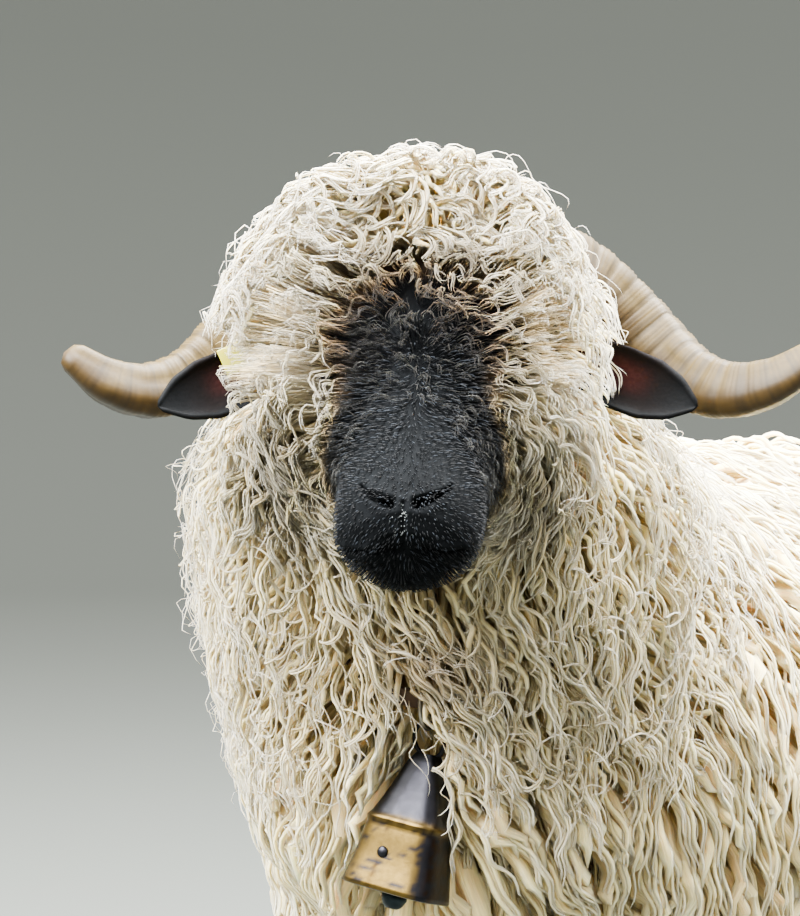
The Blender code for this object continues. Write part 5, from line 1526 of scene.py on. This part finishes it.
def make_bell():
    """The bell's shell, its brazed shoulder seam, a side fold shown only as painted shade on one facet,
    rivet and bail.
    """
    # Folded sheet steel, brazed and dipped in brass: worn bright, dull brown in the hollows.
    metal = tinted_material("brazed_steel", "8C8B86", 0.38, 190.0, 0.14, 0.0003, Metallic=1.0)
    table = np.array(BELL_PROFILE)
    length = table[-1, 0]
    downs = np.unique(np.concatenate([np.linspace(0.0005, length, 34), table[:, 0], [0.049, 0.053]]))
    rings = [np.repeat(np.array(BELL_TOP)[None], BELL_SIDES, axis=0)]
    for down in downs:
        wide, deep = (np.interp(down, table[:, 0], table[:, i]) for i in (1, 2))
        dent = 0.0004 * math.sin(down * 140)
        rings.append(bell_ring(down, wide + dent, deep + dent))
    rings.append(bell_ring(length + 0.0010, *(table[-1, 1:] - BELL_WALL / 2)))
    for down in (length, 0.078, 0.055, 0.047, 0.028, 0.0088):
        wide, deep = (np.interp(down, table[:, 0], table[:, i]) - BELL_WALL for i in (1, 2))
        rings.append(bell_ring(down, wide, deep))
    across, front, below = (np.array(v) for v in bell_axes())
    rings.append(np.repeat((np.array(BELL_TOP) + below * 0.0088)[None], BELL_SIDES, axis=0))
    shell = lofted("bell_look", rings, metal)
    rivet_place = np.array(BELL_TOP) + below * RIVET_DOWN + across * RIVET_ASIDE + front * RIVET_AHEAD
    bpy.ops.mesh.primitive_uv_sphere_add(
        segments=24, ring_count=12, radius=RIVET_RADIUS, location=(0, 0, 0)
    )
    rivet = bpy.context.object
    raw = get_points(rivet)
    flat = raw[:, :1] * across + raw[:, 1:2] * below + raw[:, 2:] * front * 0.55
    set_points(rivet, flat + rivet_place)
    centre = np.array(BELL_TOP) + np.array((0, 0, BAIL_RISE))
    out_x, out_z = across * BAIL_RADIUS, np.array((0, 0, BAIL_RADIUS))
    facing = unit(np.cross(out_x, out_z))
    bail = banded(
        "bail",
        lambda t: centre + np.outer(np.cos(t), out_x) + np.outer(np.sin(t), out_z),
        lambda t: np.outer(np.ones(len(t)), facing * WIRE),
        lambda t: unit(np.outer(np.cos(t), out_x) + np.outer(np.sin(t), out_z)) * WIRE,
        metal,
        48,
        10,
    )
    bell = join("bell_look", [shell, rivet, bail])
    bell.data.materials.clear()
    bell.data.materials.append(metal)
    bell.data.shade_smooth()
    points = get_points(bell)
    offset = points - np.array(BELL_TOP)
    down, aside, ahead = offset @ below, offset @ across, offset @ front
    wide = np.interp(down, table[:, 0], table[:, 1])
    deep = np.interp(down, table[:, 0], table[:, 2])
    level = np.abs(aside / wide) ** BELL_SQUARENESS + np.abs(ahead / deep) ** BELL_SQUARENESS
    level = level ** (1 / BELL_SQUARENESS)
    speck = wander(points, 0.012, 21) + 0.6 * wander(points, 0.005, 22)
    lower = rise(0.046, 0.052, down)
    gilt = rise(0.86, 0.74, np.abs(aside / wide + 0.06) + 0.05 * speck) * (ahead > 0)
    tint = mix(STEEL, BRASS, (lower * gilt * rise(-1.3, -0.7, speck))[:, None])
    side = rise(0.88, 0.97, aside / wide) * rise(0.03, 0.06, down)
    tint = mix(tint, RUST, (side * rise(-0.8, 0.4, speck))[:, None])
    beads = 0.5 + 0.5 * np.cos(2 * math.pi * aside / SEAM_BEAD)
    seam = np.exp(-(((down - SHOULDER_SEAM) / 0.0030) ** 2))
    tint = mix(tint, mix(BRAZE, BRASS, beads[:, None]), (0.9 * seam)[:, None])
    # Painted shade: the left facet of the upper bell is darkened, where the fold turns from the light.
    painted_shade_facet = rise(0.0012, -0.0012, aside + 0.20 * down - 0.002) * (1 - lower) * (ahead > 0)
    tint = mix(tint, mix(STEEL, SHADE, 0.55), painted_shade_facet[:, None])
    crack = np.exp(-(((aside + 0.007 + 0.0006 * speck) / 0.0006) ** 2)) * lower * (ahead > 0)
    tint = mix(tint, RUST, (0.8 * crack)[:, None])
    riveted = np.linalg.norm(points - rivet_place, axis=1) < RIVET_RADIUS + 0.0004
    tint = mix(tint, STEEL * 1.6, (1.0 * (riveted & (ahead > deep + 0.0004)))[:, None])
    inside = rise(0.955, 0.90, level) * (down > 0.004)
    tint = mix(tint, SHADE, (0.9 * inside)[:, None])
    paint(bell, tint, "tint")
    return settle(bell, "bell_metal", "bell")


def make_clapper():
    """An iron rod that swells to a ball below the bell's mouth."""
    iron = tinted_material("forged_iron", "1C2224", 0.5, 240.0, 0.2, 0.0003, Metallic=1.0)
    across, front, below = (np.array(v) for v in bell_axes())
    start = BELL_PROFILE[1][0] + BELL_WALL + 0.0003
    profile = np.array(CLAPPER_PROFILE)
    turn = 2 * math.pi * np.arange(24) / 24
    circle = np.outer(np.sin(turn), across) + np.outer(np.cos(turn), front)
    rings = []
    for share in np.concatenate([[0.0], np.linspace(0, 0.74, 8), np.linspace(0.76, 1.0, 18), [1.0]]):
        radius = np.interp(share, profile[:, 0], profile[:, 1])
        radius = 0.0 if len(rings) in (0, 27) else radius
        centre = np.array(BELL_TOP) + below * (start + (CLAPPER_LENGTH - start) * share)
        rings.append(centre + circle * radius)
    piece = lofted("clapper_look", rings, iron)
    paint_all(piece, "1C2224")
    return settle(piece, "iron", "clapper")


def make_strap():
    """The strap round the neck and the ring that the bell hangs from."""
    leather = tinted_material("worn_leather", "3A2517", 0.7, 320.0, 0.25, 0.0004)
    middle = np.array((STRAP_FRONT + STRAP_NAPE) / 2)
    long_axis, side_axis = np.array((STRAP_FRONT - STRAP_NAPE) / 2), np.array((NECK_HALF, 0, 0))
    facing = unit(np.cross(side_axis, long_axis))

    def centre_at(turn):
        return middle + np.outer(np.cos(turn), side_axis) + np.outer(np.sin(turn), long_axis)

    def outward(turn):
        along = np.outer(np.cos(turn), long_axis) - np.outer(np.sin(turn), side_axis)
        return unit(np.cross(facing, along)) * -STRAP_HALF_THICKNESS

    strap = banded(
        "collar_look",
        centre_at,
        lambda turn: np.outer(np.ones(len(turn)), facing * STRAP_HALF_WIDTH),
        outward,
        leather,
        96,
        16,
        0.5,
    )
    paint_all(strap, "3A2517")
    settle(strap, "strap", "collar")
    wire = tinted_material("bent_wire", "77736C", 0.4, 300.0, 0.2, 0.0002, Metallic=1.0)
    hook = np.array((BELL_TOP.x, STRAP_FRONT.y, STRAP_FRONT.z - 0.0040))
    long_axis, tall = np.array((0, RING_LONG, 0)), np.array((0, 0, RING_TALL))
    long_way, tall_way = (0, 1, 0), (0, 0, 1)

    def ring_out(t):
        return np.outer(np.cos(t) / RING_LONG, long_way) + np.outer(np.sin(t) / RING_TALL, tall_way)

    ring = banded(
        "bell_ring_look",
        lambda t: hook + np.outer(np.cos(t), long_axis) + np.outer(np.sin(t), tall),
        lambda t: np.outer(np.ones(len(t)), (WIRE, 0, 0)),
        lambda t: unit(ring_out(t)) * WIRE,
        wire,
        56,
        12,
    )
    paint_all(ring, "77736C")
    return settle(ring, "iron", "bell_ring")


TAG_SHARE, TAG_ASIDE = 0.56, -0.009
TAG_PLATE, TAG_THICKNESS, TAG_PIN = (0.0085, 0.0100), 0.0016, 0.0016
TAG_BACK, TAG_CORNER = -0.0185, 0.0022  # the second plate, behind the ear


def make_tag():
    """The ear tag: two blank moulded plates on a pin."""
    plastic, _, _ = new_material("moulded_polyurethane", "A39C14", 0.42, Subsurface_Weight=0.15)
    root, tip, across, face = ear_frame(-1)
    along = (tip - root).normalized()
    place = root.lerp(tip, TAG_SHARE) + across * TAG_ASIDE
    plates = []
    for offset in (0.0, TAG_BACK):
        bpy.ops.mesh.primitive_cube_add(size=2.0, location=(0, 0, 0))
        plate = bpy.context.object
        raw = get_points(plate)
        shaped = np.outer(raw[:, 0], along * TAG_PLATE[0]) + np.outer(raw[:, 1], across * TAG_PLATE[1])
        shaped += np.outer(raw[:, 2], face * TAG_THICKNESS / 2) + np.array(place + face * offset)
        set_points(plate, shaped)
        modify(plate, "BEVEL", width=TAG_CORNER, segments=5, limit_method="ANGLE", affect="EDGES")
        plates.append(plate)
    turn = 2 * math.pi * np.arange(16) / 16
    circle = (np.outer(np.sin(turn), along) + np.outer(np.cos(turn), across)) * TAG_PIN
    back, ahead = np.array(place + face * TAG_BACK), np.array(place)
    rings = [back + circle * 0, back + circle, ahead + circle, ahead + circle * 0]
    plates.append(lofted("pin", rings, plastic))
    tag = join("ear_tag_look", plates)
    tag.data.materials.clear()
    tag.data.materials.append(plastic)
    active(tag)
    bpy.ops.object.shade_smooth_by_angle(angle=math.radians(35))
    return settle(tag, "tag", "ear_tag")


DEW_DROPS, DEW_SIZE, DEW_SPREAD = 64, 0.00045, 0.0034


def make_dew():
    """Beads of wet on the groove between the nostrils, which catch the light as white dots."""
    wet, _, _ = new_material("nose_dew", "4A4E4E", 0.16, Specular_IOR_Level=0.6)
    line = smooth_path(PHILTRUM, 40)
    drops = []
    for spot in rng.integers(0, 28, DEW_DROPS):
        place = np.array([at_head(*line[spot])]) + np.array(LEFT) * rng.normal(0, DEW_SPREAD)
        for _ in range(6):
            place -= exact_slope(place) * skin_distance(place)[:, None]
        drops.append(bead(Vector(place[0]), DEW_SIZE * rng.uniform(0.6, 1.2)))
    dew = join("nose_dew", drops)
    dew.data.materials.append(wet)
    dew.data.shade_smooth()
    return settle(dew, "eye")


def make_fittings():
    keratin = tinted_material("ram_horn", "C4A77E", 0.48, 150.0, 0.14, 0.0004, Specular_IOR_Level=0.12)
    hoof = tinted_material("hoof_horn", "3B332B", 0.5, 260.0, 0.2, 0.0003)
    ear_skin = tinted_material("ear_skin", "060607", 0.6, 420.0, 0.25, 0.0004, Specular_IOR_Level=0.04)
    wet = eye_material()
    for which, sign in SIDES:
        make_horn(which, sign, keratin)
        make_ear(which, sign, ear_skin)
        make_eye(which, sign, wet)
    make_dew()
    make_feet(hoof)
    make_bell()
    make_clapper()
    make_strap()
    make_tag()


FLOOR_RADIUS, FLOOR_SWEEP, FLOOR_SIDES = 9.0, 5.0, 96

LIGHTS = (  # name, place, size and power
    ("key_light", (-1.2, -2.2, 3.2), 2.2, 1800),
    ("top_light", (0.5, 0.2, 3.4), 2.6, 2600),
    ("rim_light", (1.8, 2.4, 2.2), 1.6, 170),
)
LIT_PLACE, SKY_STRENGTH = Vector((0.0, -0.2, 0.6)), 5.2

# The photograph's view: a lens of about 93 mm at 1.5 m before the muzzle.
CAMERA_TURN, CAMERA_HEIGHT, CAMERA_DISTANCE, CAMERA_LENS = math.radians(27.0), 0.820, 1.50, 93.1
CAMERA_DROP, CAMERA_PAN = math.radians(1.04), math.radians(-0.12)
MUZZLE_TIP = SHIFT + Vector((0.111, -0.6754, 0.726))


def make_stage():
    """A grey round floor that sweeps up far off on all sides, soft lights and the camera."""
    material, _, _ = new_material("studio_floor", "4A4D49", 0.9, Specular_IOR_Level=0.05)
    turn = np.linspace(0, 2 * math.pi, FLOOR_SIDES, endpoint=False)
    circle = np.stack([np.cos(turn), np.sin(turn), np.zeros(FLOOR_SIDES)], axis=1)
    bends = np.radians(np.linspace(0, 75, 16))
    rings = [circle * 0.0, circle * (FLOOR_RADIUS * 0.5)]
    for bend in bends:
        out, up = FLOOR_RADIUS + FLOOR_SWEEP * math.sin(bend), FLOOR_SWEEP * (1 - math.cos(bend))
        rings.append(circle * out + np.array((0, 0, up)))
    floor = lofted("floor", rings, material)
    floor.data.flip_normals()
    world = bpy.data.worlds.new("studio")
    world.use_nodes = True
    background = world.node_tree.nodes["Background"]
    background.inputs["Color"].default_value = color("F2F1EE")
    background.inputs["Strength"].default_value = SKY_STRENGTH
    bpy.context.scene.world = world
    for name, place, size, power in LIGHTS:
        data = bpy.data.lights.new(name, "AREA")
        data.size, data.energy = size, power
        light = bpy.data.objects.new(name, data)
        bpy.context.scene.collection.objects.link(light)
        light.location = place
        light.rotation_euler = (LIT_PLACE - Vector(place)).to_track_quat("-Z", "Y").to_euler()
    lens = bpy.data.cameras.new("camera")
    lens.lens = CAMERA_LENS
    camera = bpy.data.objects.new("camera", lens)
    bpy.context.scene.collection.objects.link(camera)
    back = Vector((math.sin(CAMERA_TURN), -math.cos(CAMERA_TURN), 0))
    place = MUZZLE_TIP + back * CAMERA_DISTANCE
    camera.location = (place.x, place.y, CAMERA_HEIGHT)
    camera.rotation_euler = (math.pi / 2 - CAMERA_DROP, 0, CAMERA_TURN - CAMERA_PAN)
    bpy.context.scene.camera = camera


def make_body():
    skin = make_skin()
    unwrap(skin)
    points = get_points(skin)
    # The skin wears the colours of the wool's roots, painted shade included, so that the gaps between locks
    # read as deep shade.
    paint(skin, coat_tones(points, np.full(len(points), 0.15), np.zeros(len(points))))
    felt = skin_material()
    skin.data.materials.clear()
    skin.data.materials.append(felt)
    make_coat(skin, wool_material(), hair_material())
    legs = ["leg_%s_%s" % (place, which) for place in ("front", "hind") for which, _ in SIDES]
    settle(skin, "fleece", "head", "neck", "torso", "tail", *legs)


make_body()
make_fittings()
make_stage()
